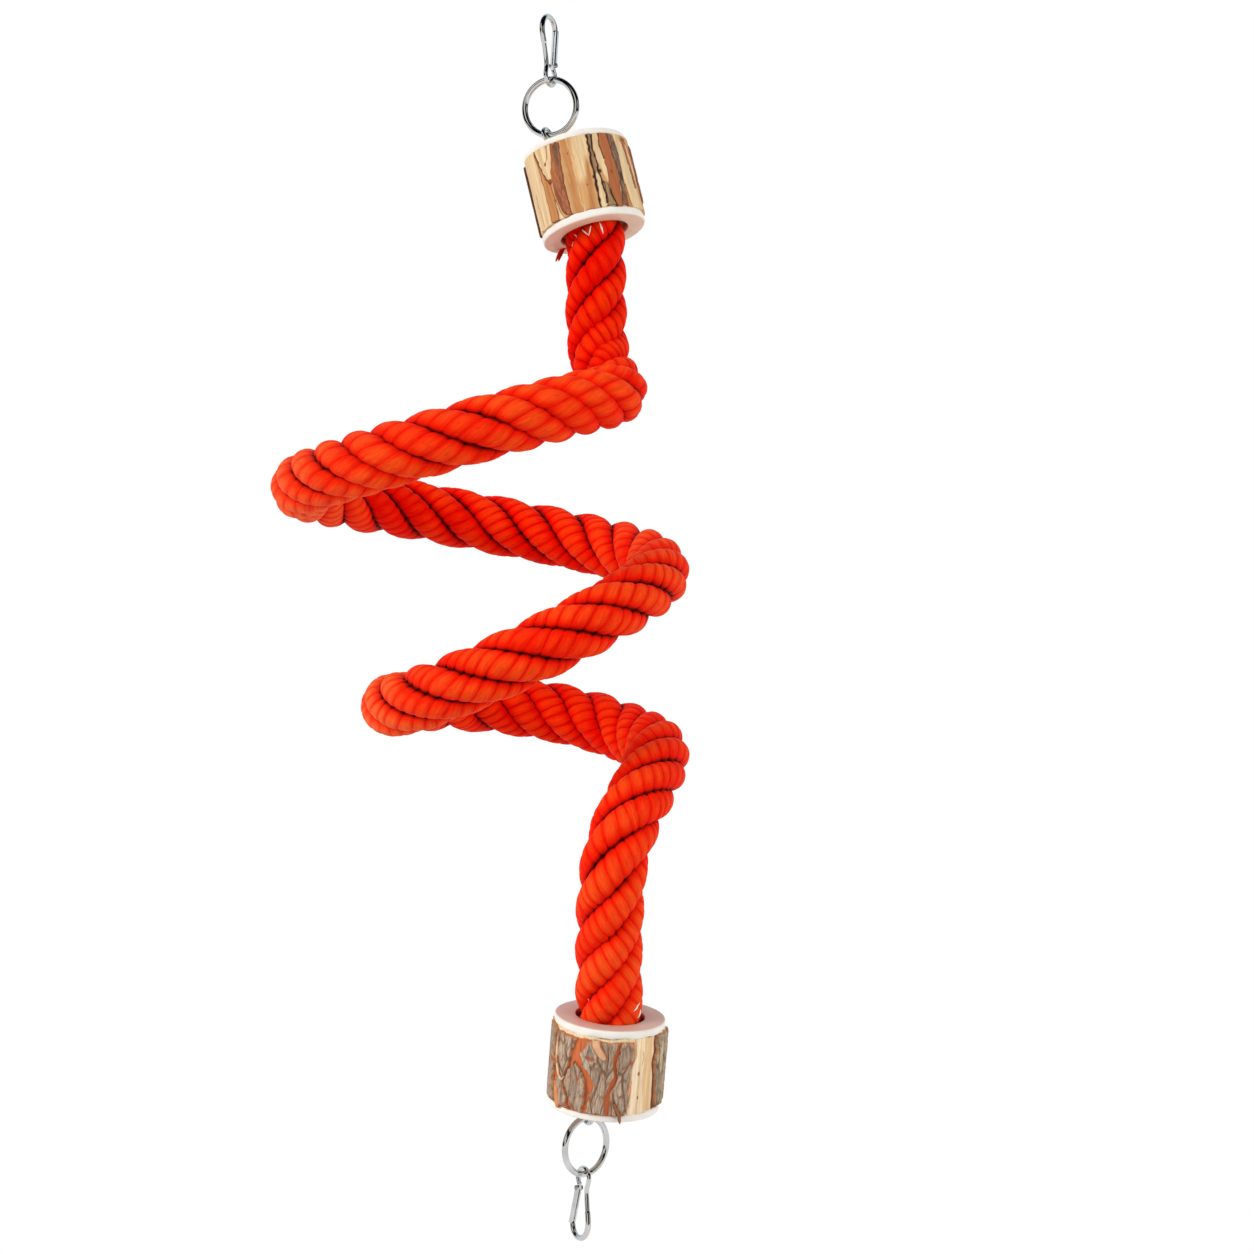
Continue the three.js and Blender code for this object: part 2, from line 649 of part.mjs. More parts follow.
function coilPoint(turn) {
  const narrowing = THREE.MathUtils.smoothstep(turn, COIL_NARROWS_FROM, COIL_NARROWS_TO);
  const radius = THREE.MathUtils.lerp(COIL_RADIUS_UPPER, COIL_RADIUS_LOWER, narrowing);
  const angle = 2 * Math.PI * turn;
  const leftDroop = LEFT_DROOP_PER_TURN * turn * (1 - Math.cos(angle)) / 2;
  const frontDroop = (FRONT_DROOP + FRONT_DROOP_PER_TURN * turn) * Math.sin(angle);
  return new THREE.Vector3(
    COIL_RIGHT - radius + radius * Math.cos(angle),
    COIL_MIDDLE - radius * Math.sin(angle),
    COIL_START_HEIGHT - COIL_PITCH * turn - leftDroop - frontDroop + CORNER_LIFT * Math.sin(2 * angle),
  ).add(upperMouth);
}

const coilEnd = coilPoint(COIL_LAST_TURN);
const lowerBlock = logBlock(LOWER_END);
lowerBlock.rotation.set(radians(LOWER_TIP), radians(LOWER_TILT), 0, 'YXZ');
lowerBlock.position.fromArray(LOWER_MOUTH).add(coilEnd);
toy.add(lowerBlock);

const lowerEye = eyeMiddle(LOWER_END).applyEuler(lowerBlock.rotation).add(lowerBlock.position);
const lowerHanger = new THREE.Group();
lowerHanger.position.set(0, 0, eyeSlack).applyEuler(lowerBlock.rotation).add(lowerEye);
lowerHanger.rotation.y = radians(LOWER_HANG_LEAN);
toy.add(lowerHanger);

const lowerRing = weldedRing('lower');
lowerRing.rotation.z = radians(LOWER_RING_TURN);
lowerRing.position.z = -ringRadius;
lowerHanger.add(lowerRing);

const lowerClip = snapClip('lower');
lowerClip.rotation.set(Math.PI, 0, radians(LOWER_CLIP_TURN), 'ZXY');
lowerClip.position.z = -2 * ringRadius + hangStep(CLIP_WIRE, RING_WIRE) + clip.eyeBottom;
lowerHanger.add(lowerClip);

// Rope route: straight in the upper block, down, round the spiral, and straight into the lower block
function gripPoints(blockGroup, depths) {
  const { rotation, position } = blockGroup;
  return depths.map((depth) => new THREE.Vector3(0, 0, depth).applyEuler(rotation).add(position));
}

function ropePath() {
  const depths = [1, 0.75, 0.5, 0.25, 0].map((share) => share * ROPE_GRIP);
  const from = (start) => (point) => new THREE.Vector3(...point).add(start);
  const coil = [];
  const coilSteps = Math.round((COIL_LAST_TURN - COIL_FIRST_TURN) * COIL_POINTS_PER_TURN);
  for (let step = 0; step <= coilSteps; step += 1) {
    coil.push(coilPoint(COIL_FIRST_TURN + ((COIL_LAST_TURN - COIL_FIRST_TURN) * step) / coilSteps));
  }
  const points = [
    ...gripPoints(upperBlock, depths),
    ...ROPE_LEAD_IN.map(from(upperMouth)),
    ...coil,
    ...ROPE_LEAD_OUT.map(from(coilEnd)),
    ...gripPoints(lowerBlock, depths.reverse()),
  ];
  const path = new THREE.CatmullRomCurve3(points, false, 'centripetal');
  path.arcLengthDivisions = PATH_DIVISIONS;
  return path;
}

const ropeLine = ropePath();
const coreBore = CORE_DIAMETER / 2 + GLUE_GAP;
toy.add(piece('rope', tube(ropeLine, ropeRadius, ROPE_SIDES, ROPE_STEPS, coreBore), 'rope'));
toy.add(piece('core_wire', tube(ropeLine, CORE_DIAMETER / 2, CORE_SIDES, ROPE_STEPS), 'steel'));

const ropeGap = leastGap(ropeLine, ROPE_DIAMETER, GAP_SAMPLES);
const springGap = leastGap(gateSpringPath, GATE_SPRING_WIRE, GAP_SAMPLES);
console.log(`rope length ${ropeLine.getLength().toFixed(0)} mm`);
console.log(`rope least gap to itself ${ropeGap.toFixed(1)} mm`);
console.log(`gate spring least gap to itself ${springGap.toFixed(2)} mm`);

export default toy;
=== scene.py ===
"""Looks of a hanging rope perch for a bird cage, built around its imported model.

Sizes are in millimetres and places in the part's own frame, +Z up and +Y away from the viewer. They
become metres when a mesh is made. Colours are sRGB, from 0 to 255. On a log block, heights are measured
along its own axis from the rope's mouth, and angles from its front, counted to the right.
"""
import math

import bmesh
import bpy
import numpy as np
from mathutils import Matrix, Vector
from mathutils.bvhtree import BVHTree


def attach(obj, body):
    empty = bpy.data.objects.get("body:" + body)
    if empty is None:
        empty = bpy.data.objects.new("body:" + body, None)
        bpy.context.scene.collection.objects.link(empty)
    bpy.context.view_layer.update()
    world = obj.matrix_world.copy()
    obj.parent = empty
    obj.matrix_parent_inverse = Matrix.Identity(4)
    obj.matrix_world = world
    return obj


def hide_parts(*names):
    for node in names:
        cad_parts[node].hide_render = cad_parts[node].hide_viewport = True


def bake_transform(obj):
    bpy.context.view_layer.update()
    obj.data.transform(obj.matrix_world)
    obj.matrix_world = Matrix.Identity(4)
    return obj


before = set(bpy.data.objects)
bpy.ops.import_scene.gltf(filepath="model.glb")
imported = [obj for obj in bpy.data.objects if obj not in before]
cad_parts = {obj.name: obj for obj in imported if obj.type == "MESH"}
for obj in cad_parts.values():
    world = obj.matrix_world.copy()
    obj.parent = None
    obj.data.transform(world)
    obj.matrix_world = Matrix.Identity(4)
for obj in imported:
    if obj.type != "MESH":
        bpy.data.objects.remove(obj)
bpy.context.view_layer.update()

MM = 0.001

# Camera, stage and light
PICTURE_PIXELS = 1254
FOCAL_PIXELS = 3000
SENSOR_WIDTH = 36
CAMERA_PLACE = (58.6, -2238, -453.6)
FLOOR_HEIGHT = -1040
FLOOR_HALF = 9000
FLOOR_COLOUR = (244, 243, 241)
WHITE = (1, 1, 1, 1)
WORLD_STRENGTH = 0.5

# What bright metal reflects: shades of the room by depth, and soft panels in it as direction, size,
# softness and colour
STUDIO_ROOM = ((0, (4, 4, 4)), (0.2, (12, 12, 13)), (0.42, (196, 212, 222)), (0.7, (226, 234, 240)))
STUDIO_PANELS = (
    ((-0.3, -0.93, 0.15), 0.93, 0.04, (236, 226, 208)),
    ((-0.8, -0.45, 0.45), 0.95, 0.03, (250, 250, 250)),
    ((0.85, -0.4, 0.2), 0.97, 0.02, (226, 220, 208)),
)

# Suns as name, direction, spread in degrees and strength
SUNS = (
    ("key_sun", (-1, -0.55, 0.6), 30, 2.1),
    ("fill_sun", (1, -0.45, 0.35), 60, 1.4),
)

# Noise, lines and grain
NOISE_CELLS = 64
SPLINE_POINTS = 40
GRAIN_UNIT = 10

# Rope: four strands laid to the right, each of three yarns twisted to the left
ROPE_STEP = 2
ROPE_IN_BLOCK = 40
STRANDS = 4
STRAND_REACH = 0.575
STRAND_RADIUS = 0.43
STRAND_WIDEN = 1.08
STRAND_COLUMNS = 32
YARNS = 3
YARN_TURN = 20.4
YARN_POINTS = (0, 0.07, 0.25, 0.5, 0.75, 0.93)
YARN_CROWN = 0.95
YARN_ROUNDNESS = 3.5
YARN_WANDER = 1.5
YARN_SWELL = 0.2
STRAND_SWELL = 0.3
CREASE_DEPTH = 0.75
CREASE_CHANGE = 0.5
CREASE_WAVE = 7
CREASE_SEED = 24
STRAND_GRAIN_SHIFT = 40
COLUMN_GRAIN = 2.3
ROW_GRAIN = 0.7

# Unevenness along the strands: wavelength, shift from one strand to the next, and seed
WANDER_RIPPLE = (10, 7.3, 22)
STRAND_RIPPLE = (19, 5.1, 23)
YARN_RIPPLE = (6.8, 9.1, 25)

# How often the strands have gone around the rope, and the rope's radius, at lengths past the upper mouth
ROPE_TWIST = (
    (-47, -0.23), (18, 0.365), (104, 1.147), (128, 1.362), (150, 1.61), (172, 1.875), (194, 2.125),
    (219, 2.375), (246, 2.625), (281, 2.868), (314, 3.128), (370, 3.628), (467, 4.335), (568, 4.962),
    (798, 6.46), (968, 7.61), (1138, 8.855), (1264, 9.756), (1368, 10.409), (1496, 11.388),
    (1628, 12.399), (1786, 13.654), (1829, 14.01),
)
ROPE_RADII = (
    (-47, 21.6), (0, 22), (60, 22.8), (122, 22.8), (232, 23.5), (1472, 23.6), (1672, 25), (1762, 24.8),
    (1784, 24.5), (1796, 23), (1829, 22.6),
)

# How far the yarns are drawn out, at lengths past the upper mouth
YARN_STRETCH = (
    (0, 0.8), (110, 0.8), (200, 1.1), (260, 1.25), (400, 1.25), (520, 1), (1050, 1), (1500, 0.9),
    (1640, 0.82),
)

# How much painted light lies on the rope, from 0 to 1, at lengths past the upper mouth: where it lies, the
# dye is painted lighter and more orange
ROPE_PAINTED_LIGHT = (
    (125, 0), (155, 0.45), (330, 0.5), (440, 1), (490, 1), (580, 0.1), (780, 0.1), (880, 0.55), (1040, 0.4),
    (1110, 0.45), (1215, 1), (1260, 1), (1340, 0), (1480, 0.1), (1560, 0.45), (1782, 0.6),
)
# How the painted light raises red, green and blue, and how much wider the painted groove shade is where no
# painted light lies
PAINTED_LIGHT_POWERS = np.array((0.6, 1.2, 1.5))
UNLIT_GROOVE_WIDENING = 0.025

# Colours without and with the painted light along the rope: a painted highlight on the crowns of the yarns,
# the dye on their flanks, painted shade in their creases and deeper painted shade between the strands
ROPE_DYE_HIGHLIGHT_AND_SHADE = np.array((
    ((252, 55, 8), (255, 114, 62)),
    ((238, 8, 0), (255, 60, 23)),
    ((196, 0, 0), (244, 24, 4)),
    ((128, 0, 0), (190, 6, 0)),
))
# Painted shadow, nearly black, deep in the grooves between the strands
GROOVE_SHADOW = (16, 0, 0)
# How much painted shade turns the yarns' flanks and the groove sides from the crowns' painted highlight to
# the dye, how much redder random stretches are, how strong and narrow the painted crease shade is, and the
# least share of painted shadow in the grooves
FLANK_SHADE = 0.6
GROOVE_SIDE_SHADE = 0.9
RIPPLE_RED = 0.45
CREASE_SHADE_STRENGTH = 0.85
CREASE_SHADE_SHARPNESS = 11
LEAST_GROOVE_SHADOW = 0.35

# Shares of the rope's radius over which it gains the crowns' painted highlight and loses the deep painted
# shade and the painted black shadow between the strands
HIGHLIGHT_REACH = (0.86, 0.99)
DEEP_SHADE_REACH = (0.78, 0.88)
SHADOW_REACH = (0.765, 0.82)

# The rope's route, as points from the upper block's mouth and from the spiral's lower end
COIL_RADIUS_UPPER = 133
COIL_RADIUS_LOWER = 99.5
COIL_RIGHT = 47.3
COIL_MIDDLE = 27.4
COIL_START_HEIGHT = -106.7
COIL_PITCH = 143
COIL_FIRST_TURN = 0.12
COIL_LAST_TURN = 1.9
COIL_NARROWS_FROM = 0.75
COIL_NARROWS_TO = 1.25
LEFT_DROOP_PER_TURN = 18.8
FRONT_DROOP = 6.7
FRONT_DROOP_PER_TURN = 7
CORNER_LIFT = 4.5
COIL_POINTS_PER_TURN = 24
ROPE_LEAD_IN = (
    (1, -5.6, -22), (1, -8.6, -50), (1.9, -10.6, -76), (4.2, -17.6, -96), (11, -31.6, -111),
    (16, -47.6, -120),
)
ROPE_LEAD_OUT = (
    (17.6, -52.5, -9.7), (14.2, -90.5, -24.2), (2.2, -118.5, -45.7), (-7.8, -132.5, -66.7),
    (-14, -137.5, -90.1), (-16.5, -134.5, -114.7), (-17.6, -127.5, -144.7), (-17.8, -121, -174.7),
)
CORE_DIAMETER = 5
CORE_STEP = 8
CORE_SIDES = 10

# Log blocks
COLLAR_THICKNESS = 5.5
DISC_THICKNESS = 4.5
BLOCK_HEIGHT = 68.5
BORE_DEPTH = 56
BORE_RADIUS = 25.3
SEAT_GAP = 0.3
ENDS = {
    "upper": {
        "tilt": -13.5, "tip": -11.5, "front": -90, "log": 78, "disc": 77,
        "eye_offset": 16.7, "eye_stand": 15, "eye_turn": 60,
    },
    "lower": {
        "tilt": 4.5, "tip": 189.7, "front": 90, "log": 80, "disc": 81,
        "eye_offset": 10.5, "eye_stand": 10, "eye_turn": 50,
    },
}
LOG_LOW = COLLAR_THICKNESS + SEAT_GAP
LOG_HIGH = BLOCK_HEIGHT - DISC_THICKNESS - SEAT_GAP
LOG_COLUMNS = 640
LOG_ROW = 0.45
PLATE_STEP = 0.6
MM_PER_DEGREE = 0.69
EDGE_ROUND = 1.3
BAND_END_SLOPE = 0.35
BAND_SEED, LINE_SEED, LINE_WIDTH_SEED = 31, 32, 33

# Colours of the wood
CREAM, TAN, HONEY = (232, 204, 160), (212, 162, 108), (198, 136, 80)
RUST, UMBER, SOOT = (182, 106, 60), (112, 64, 34), (52, 30, 18)
SAPWOOD, KNOT = (250, 230, 198), (136, 66, 34)

# Bands of the peeled upper log: colour, softness of the edges, colour of the outline, and the left and
# right edges at several heights
UPPER_BANDS = (
    (CREAM, 0.8, None, ((4, -84, -46), (30, -84, -46), (47, -84, -47), (65, -84, -49))),
    (CREAM, 0.4, None, ((35, -35, -33), (42, -41, -33), (51, -45, -29), (57, -47, -28), (65, -48, -27))),
    (HONEY, 0.3, UMBER, (
        (4, -46, -37), (17, -46, -35), (27, -46, -36), (35, -46, -36), (40, -47, -41), (48, -47, -44),
        (60, -49, -48),
    )),
    (CREAM, 0.3, UMBER, ((4, -36, -28), (10, -35.5, -32), (20, -35.5, -34.5))),
    (HONEY, 1.6, None, ((4, -15, -9), (40, -14, -8), (65, -13, -7))),
    (CREAM, 1.6, None, ((30, -4, 9), (50, -3, 13), (65, -1, 15))),
    (HONEY, 1.6, None, ((4, 0, 7), (29, 5, 10), (44, 8, 12))),
    (CREAM, 0.5, None, ((4, 14, 20), (20, 15, 21), (33, 15, 19))),
    ((158, 124, 90), 0.4, None, ((34, 14.5, 18.5), (49, 15, 19), (65, 16, 21))),
    (CREAM, 0.5, None, ((24, 28, 30), (43, 21, 30), (54, 20, 28), (65, 22, 30))),
    (RUST, 0.4, UMBER, (
        (4, 31, 38), (13, 27.5, 40), (24, 29, 42), (36, 30, 43), (43, 30, 43), (54, 28, 41), (65, 31, 40),
    )),
    (HONEY, 0.4, UMBER, ((4, 47, 56), (8, 47, 53), (22, 49, 51))),
    (CREAM, 0.7, None, ((4, 55, 75), (23, 51, 70), (39, 51, 68), (51, 52, 64), (65, 49, 58))),
    (RUST, 0.5, UMBER, ((24, 68, 71), (39, 67, 74), (51, 64, 78), (60, 61, 70))),
    (CREAM, 0.5, None, ((30, 72, 76), (48, 69, 74), (56, 68, 71))),
    (CREAM, 2, None, ((4, 98, 146), (65, 100, 148))),
    (CREAM, 2, None, ((4, 190, 230), (65, 188, 232))),
    (HONEY, 0.6, UMBER, ((4, 236, 246), (40, 238, 244), (65, 237, 248))),
)

# Cracks and thin lines: colour, width, and the angle at several heights
UPPER_CRACKS = (
    (UMBER, 0.9, ((34, -35), (40, -41), (48, -44), (56, -47), (65, -49))),
    (UMBER, 0.5, ((50, -37), (53, -34), (57, -33), (61, -31.5), (65, -31))),
    (CREAM, 0.8, ((4, -5), (14, -7), (31, -6), (45, -6), (65, -7))),
    (SOOT, 1.5, ((4, 13), (11, 13), (18, 14), (28, 14), (37, 14), (49, 15), (65, 16))),
    (SOOT, 1.3, ((8, 21), (16, 22), (26, 21), (33, 20), (40, 20), (52, 19), (65, 21))),
    (UMBER, 0.8, ((43, 30), (54, 28), (65, 30))),
    (SOOT, 0.9, ((5, 32), (13, 27), (17, 25), (26, 22))),
    (SOOT, 0.8, ((5, 33), (16, 29), (23, 27))),
    (SOOT, 0.8, ((5, 20), (13, 27))),
    (UMBER, 0.6, ((22, 67), (39, 66), (51, 64), (62, 58))),
    (UMBER, 0.5, ((8, -62), (30, -64), (34, -63))),
    (UMBER, 0.7, ((4, 120), (30, 122), (65, 119))),
    (UMBER, 0.6, ((20, 210), (65, 206))),
    (SOOT, 0.9, ((4, 226), (20, 223), (36, 225), (50, 221))),
    (UMBER, 0.6, ((30, 198), (65, 195))),
)

# Knots and dark marks: colour, angle, height, half width and half height
UPPER_KNOTS = (
    (KNOT, -36, 36, 2.2, 2.6), (KNOT, -37, 50, 1, 1.6), (KNOT, 35, 33, 0.9, 2.2), (KNOT, -9, 52, 0.7, 0.9),
    (KNOT, 4, 25, 0.6, 1.1), (KNOT, 216, 40, 1.6, 2.6), (KNOT, 204, 22, 0.8, 1.2),
    (SOOT, 13, 30, 1.3, 1.7), (SOOT, 21.5, 34, 1.3, 1.8), (SOOT, 12.5, 12, 1.1, 1.6),
)

# The same for the bare strip of the lower log: two of its bands and its first crack cut the bark
LOWER_BANDS = (
    (SAPWOOD, 0.7, None, ((2, 29, 59), (18, 32, 61), (31, 27, 57.5), (42, 28, 62), (67, 25, 66))),
    ((232, 200, 154), 1.4, None, ((2, 36, 39), (40, 37, 40), (67, 35, 39))),
    ((230, 194, 146), 2, None, ((2, 45, 56), (40, 44, 57), (67, 48, 62))),
    ((124, 60, 34), 0.3, (84, 40, 26), (
        (2, 57.5, 63), (19, 59.5, 65), (28, 56, 61), (39, 60, 66), (67, 63, 70),
    )),
)
LOWER_CRACKS = (
    ((238, 178, 118), 1.2, ((4, 28.5), (18, 31.5), (31, 26.5), (42, 27.5), (65, 24.5))),
    (UMBER, 0.3, ((17, 42), (22, 43), (27, 41))),
)
BARE_BANDS = (0, 3)
LOWER_KNOTS = ((KNOT, 37, 33, 1.1, 1.9), (KNOT, 38, 51, 0.9, 1.5), (KNOT, 57.5, 28, 1.2, 1.6))

# Bark: colours, what is left of its tint in valleys and fissures, and thicknesses that change its looks
GREY_BARK, BROWN_BARK, INNER_BARK = (186, 163, 142), (168, 106, 74), (214, 114, 62)
DARK_INNER_BARK, PALE_RIM = (186, 92, 52), (240, 224, 186)
BROKEN_BARK, DARK_BARK_EDGE, RUSTY_BARK = (206, 132, 84), (92, 54, 32), (176, 100, 62)
BARK_VALLEY = (0.8, 0.74, 0.68)
BARK_FISSURE = (0.7, 0.6, 0.53)
THIN_BARK = 0.8
ROUGH_BARK = 1.2
THICK_BARK = 2
ROUGH_EDGE, SMOOTH_EDGE = 1.3, 0.585

# Plates of bark: thickness, tint, and the left and right edges at several heights
BARK_PLATES = {
    "upper": (
        (1.6, (112, 66, 40), ((7, -94, -84), (30, -95, -82), (63, -96, -83))),
        (0.5, (176, 110, 78), (
            (6.5, -26, -19.5), (12, -31, -20), (19, -32.5, -20), (27, -34, -20.5), (42, -33, -19),
            (51, -29, -17.5), (63, -26, -15.5),
        )),
        (0.5, (176, 146, 104), ((6.5, 21, 32), (13, 22.5, 27.5), (24, 22.5, 27), (26, 22.5, 24))),
        (0.9, (134, 114, 99), (
            (6.5, 39, 48), (18, 42, 48), (28, 43.5, 49.5), (39, 42.5, 50), (49, 41, 51), (63, 40, 48),
        )),
        (1, (184, 122, 90), ((14, 79, 94), (30, 77, 95), (44, 80, 96), (58, 78, 93))),
        (1.5, BROWN_BARK, ((9, 152, 183), (30, 150, 186), (48, 153, 184), (62, 151, 182))),
    ),
    "lower": (
        (3, GREY_BARK, ((7, -98, -67), (33, -98, -66), (46, -98, -70), (63, -97, -61))),
        (2.8, GREY_BARK, (
            (8.5, -62, -33), (19, -63, -37), (33, -63, -42), (41, -57, -47), (45, -60, -47), (52, -59, -42),
            (60, -55, -39), (63, -53, -36),
        )),
        (2.5, GREY_BARK, (
            (27, -35.5, -31.5), (33, -40, -25.5), (38, -43, -21), (44, -45, -19.5), (52, -39, -20),
            (60, -35, -21), (63, -32, -21),
        )),
        (2.8, GREY_BARK, (
            (9, -22, 11), (12, -21, 9.5), (19, -29, 7.5), (27, -25.5, 7.2), (33, -17.5, 8.4),
            (41, -10.5, 5), (50, -16, 1), (63, -18, 2),
        )),
        (2.6, GREY_BARK, (
            (9, 14, 27), (19, 11, 30), (27, 9.6, 26), (34, 11, 25), (44, 7.4, 26),
            (50, 4.8, 26), (63, 5, 23),
        )),
        (2.6, (176, 160, 136), ((7, 60.5, 86), (19, 62, 88), (28, 59, 86), (39, 62.5, 88), (63, 66, 86))),
        (3, GREY_BARK, ((8, 92, 142), (36, 90, 144), (63, 93, 141))),
        (3, GREY_BARK, ((9, 148, 204), (36, 146, 206), (63, 149, 203))),
        (2.8, GREY_BARK, ((8, 210, 256), (36, 208, 258), (63, 211, 255))),
    ),
}

# Patches on single strips of bark: colour, softness and the left and right edges at several heights
BARK_PATCHES = {
    ("upper", 2): (
        ((188, 116, 66), 0.6, ((36, -34, -25), (52, -30, -24.5), (66, -26, -22))),
        ((120, 88, 67), 0.4, ((43, -23, -22.5), (53, -24.5, -18.5), (66, -22, -18))),
        ((150, 84, 56), 0.8, ((4, -32, -25), (20, -33, -28), (30, -34, -31))),
    ),
    ("upper", 4): (
        ((76, 60, 50), 0.5, ((26, 44.8, 46.6), (29, 44, 48), (32, 45, 47.5))),
        ((156, 102, 68), 0.8, ((5, 40, 48), (12, 42, 48), (19, 44, 47))),
    ),
    ("lower", 4): (
        ((220, 198, 172), 0.25, ((7, -18.8, -17.2), (15, -20.8, -13.8), (23, -23.2, -9.8))),
        ((150, 132, 118), 0.25, ((9, -18.3, -17.7), (15, -19.8, -15), (21, -22, -11.4))),
        ((172, 92, 64), 0.25, ((21, -22.4, -12), (22.6, -23, -12))),
        ((206, 186, 166), 0.3, (
            (20.5, -28, -25), (22.5, -28.5, -20), (25, -24.5, -16.5), (31, -19.5, -18),
        )),
    ),
    ("lower", 6): (((214, 202, 160), 0.8, ((14, 69, 72), (24, 67.5, 75), (35, 69.5, 73))),),
}

# Seeds of each block, to which each use of noise adds a number of its own
SEEDS = {"upper": 100, "lower": 200}

# Pale discs: the colour of their faces at each end, and of their edges
DISC_FACES = {"upper": (230, 207, 180), "lower": (206, 174, 158)}
DISC_EDGE = (240, 236, 228)
DISC_COLUMNS = 240

# Glue that squeezed out along the strands: at each mouth, the places of its slivers as the angle from the
# front and the distance from the mouth at both ends, and the width
GLUE_SLIVERS = {
    "upper": (
        ((-62, 5), (-53, 10), 1.3), ((-49, 1), (-41, 5), 1.1), ((-26, 0), (-12, 7.5), 1.3),
        ((-4, 0), (-12, 7.5), 1.1), ((13, -1), (16, 8), 1.4),
    ),
    "lower": (((44, 9), (62, 14), 1.3), ((55, 3), (66, 9), 1.5), ((-52, 13), (-50, 15), 0.9)),
}
GLUE_LOW, GLUE_HIGH = 12, 33.5
GLUE_INNER, GLUE_OUTER = 23.7, 25
GLUE_COLUMNS = 120
SLIVER_POINTS = 15
SLIVER_SIDES = 10
LEAST_SLIVER_POINTS = 5
RAY_START = 45
MOUTH_REACH = 80

# The loose yarn end: where its fibres start, from the upper block's mouth, their bends from there, and
# how much of each fibre's own sway each bend takes
LOOSE_FIBRES = 5
LOOSE_START = (-20, 15, -5)
LOOSE_BENDS = ((-4, 1, -4), (-6.5, 1.5, -8.5), (-8.5, 1, -13))
LOOSE_SWAYS = (0.5, 1, 1.6)
LOOSE_STEP = 0.6
LOOSE_SIDES = 12

# Loose flakes on the lower block: name, thickness, colour, colour of the edges, and rows of height, left
# edge, right edge and lift
FLAKES = (
    ("tongue_flake", 0.7, (228, 182, 142), (190, 104, 60), (
        (7.4, -17.5, -7, 1.4), (11, -16.5, -6, 3), (16, -12, -1.5, 3.3), (21, -7, 2, 2.8),
    )),
    ("rim_flake", 1.2, (168, 104, 62), (116, 64, 36), (
        (53, 8.5, 11.5, 2.6), (58, 11, 15, 2.8), (63, 14.5, 17.5, 2.6), (68.6, 16.4, 18.8, 1.4),
    )),
    ("left_flake", 0.8, (226, 146, 90), (186, 98, 56), (
        (46, -62, -54, 1), (52, -61.5, -51.5, 1.6), (59, -59, -49.5, 1.6), (65, -56.5, -47.5, 1.2),
    )),
)

# A pale edge where the bark split, as angles from the front and heights
SPLIT_EDGE = ((-57.5, 12), (-58, 20), (-57, 29), (-54.5, 35), (-51.5, 39.5), (-47, 42), (-43.5, 39))
SPLIT_EDGE_WIDTH = 2.2
SPLIT_EDGE_LIFT = 3.1
SPLIT_EDGE_SIDES = 10
SPLIT_EDGE_STEP = 0.6
SPLIT_EDGE_SEED = 41
SPLIT_EDGE_PALE, SPLIT_EDGE_WARM = (240, 206, 164), (214, 142, 92)

# Metal fittings
CLIP_LENGTH = 55
CLIP_WIRE = 3.6
CLIP_BOW_WIRE = 4.2
CLIP_SPINE_WIRE = 3.5
CLIP_STEP_HEIGHT = -18.8
CLIP_BOW_WIDTH = 25
CLIP_EYE_ROOM = 6.7
CLIP_EYE_ANGLES = (155, 365)
CLIP_WAIST_WIDTH = 11.2
CLIP_WAIST_RISE = 8
CLIP_NOSE_RISE = 4
CLIP_TANG_THICKNESS = 1.8
CLIP_TANG_PLAY = 0.1
CLIP_NOSE_GAP = 3
CLIP_STEP_SLOPE = 0.35
CLIP_BOW_POINTS = 14
CLIP_EYE_POINTS = 13
CLIP_LINE_STEP = 0.5
CLIP_SIDES = 24
TONGUE_DEPTH = 0.7
TONGUE_BELOW = 3
TONGUE_ABOVE = 2.5
GATE_WIDTH = 4.4
GATE_DEPTH = 3.8
GATE_EDGE = 0.7
GATE_SLOT = 1
GATE_SLOT_FLOOR = 0.2
GATE_NOSE = 0.9
PIVOT_GAP = 0.4
RING_DIAMETER = 46.4
RING_WIRE = 4.7
RING_POINTS = 120
RING_SIDES = 28
EYE_ROOM = 2.8
EYE_WIRE = 3.2
EYE_POINTS = 72
EYE_SIDES = 20
EYE_OVERLAP = 0.6
SHANK_DIAMETER = 5
SHANK_LOW = 48
SHANK_SIDES = 24
THREAD_DEPTH = 0.3
THREAD_PITCH = 0.9
THREAD_ROW = 0.25
AXIS_RADIUS = 0.01
LOWER_HANG_LEAN = 4
RING_TURNS = {"upper": -22, "lower": 44}
UPPER_CLIP_TURN = 64
UPPER_CLIP_LEAN = -2
LOWER_CLIP_TURN = 123
STEEL_NODES = ("clip_rivet", "clip_spring", "eye_washer", "nut_washer", "lock_nut")


# Numbers and places
def lerp(a, b, share):
    return a + (b - a) * share


def smoothstep(value, low, high):
    share = np.clip((value - low) / (high - low), 0, 1)
    return share * share * (3 - 2 * share)


def unit(vectors):
    return vectors / np.linalg.norm(vectors, axis=-1, keepdims=True)


def full_turn(count):
    return np.linspace(0, 2 * math.pi, count, endpoint=False)


def turn(axis, degrees):
    return np.array(Matrix.Rotation(math.radians(degrees), 3, axis))


def mesh_points(mesh):
    flat = np.empty(len(mesh.vertices) * 3, np.float32)
    mesh.vertices.foreach_get("co", flat)
    return flat.reshape(-1, 3).astype(float) / MM


def mesh_corners(mesh):
    """The vertex at each corner of each face."""
    corners = np.empty(len(mesh.loops), np.int32)
    mesh.loops.foreach_get("vertex_index", corners)
    return corners


def node_points(node):
    return mesh_points(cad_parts[node].data)


def node_middle(node):
    points = node_points(node)
    return (points.min(0) + points.max(0)) / 2


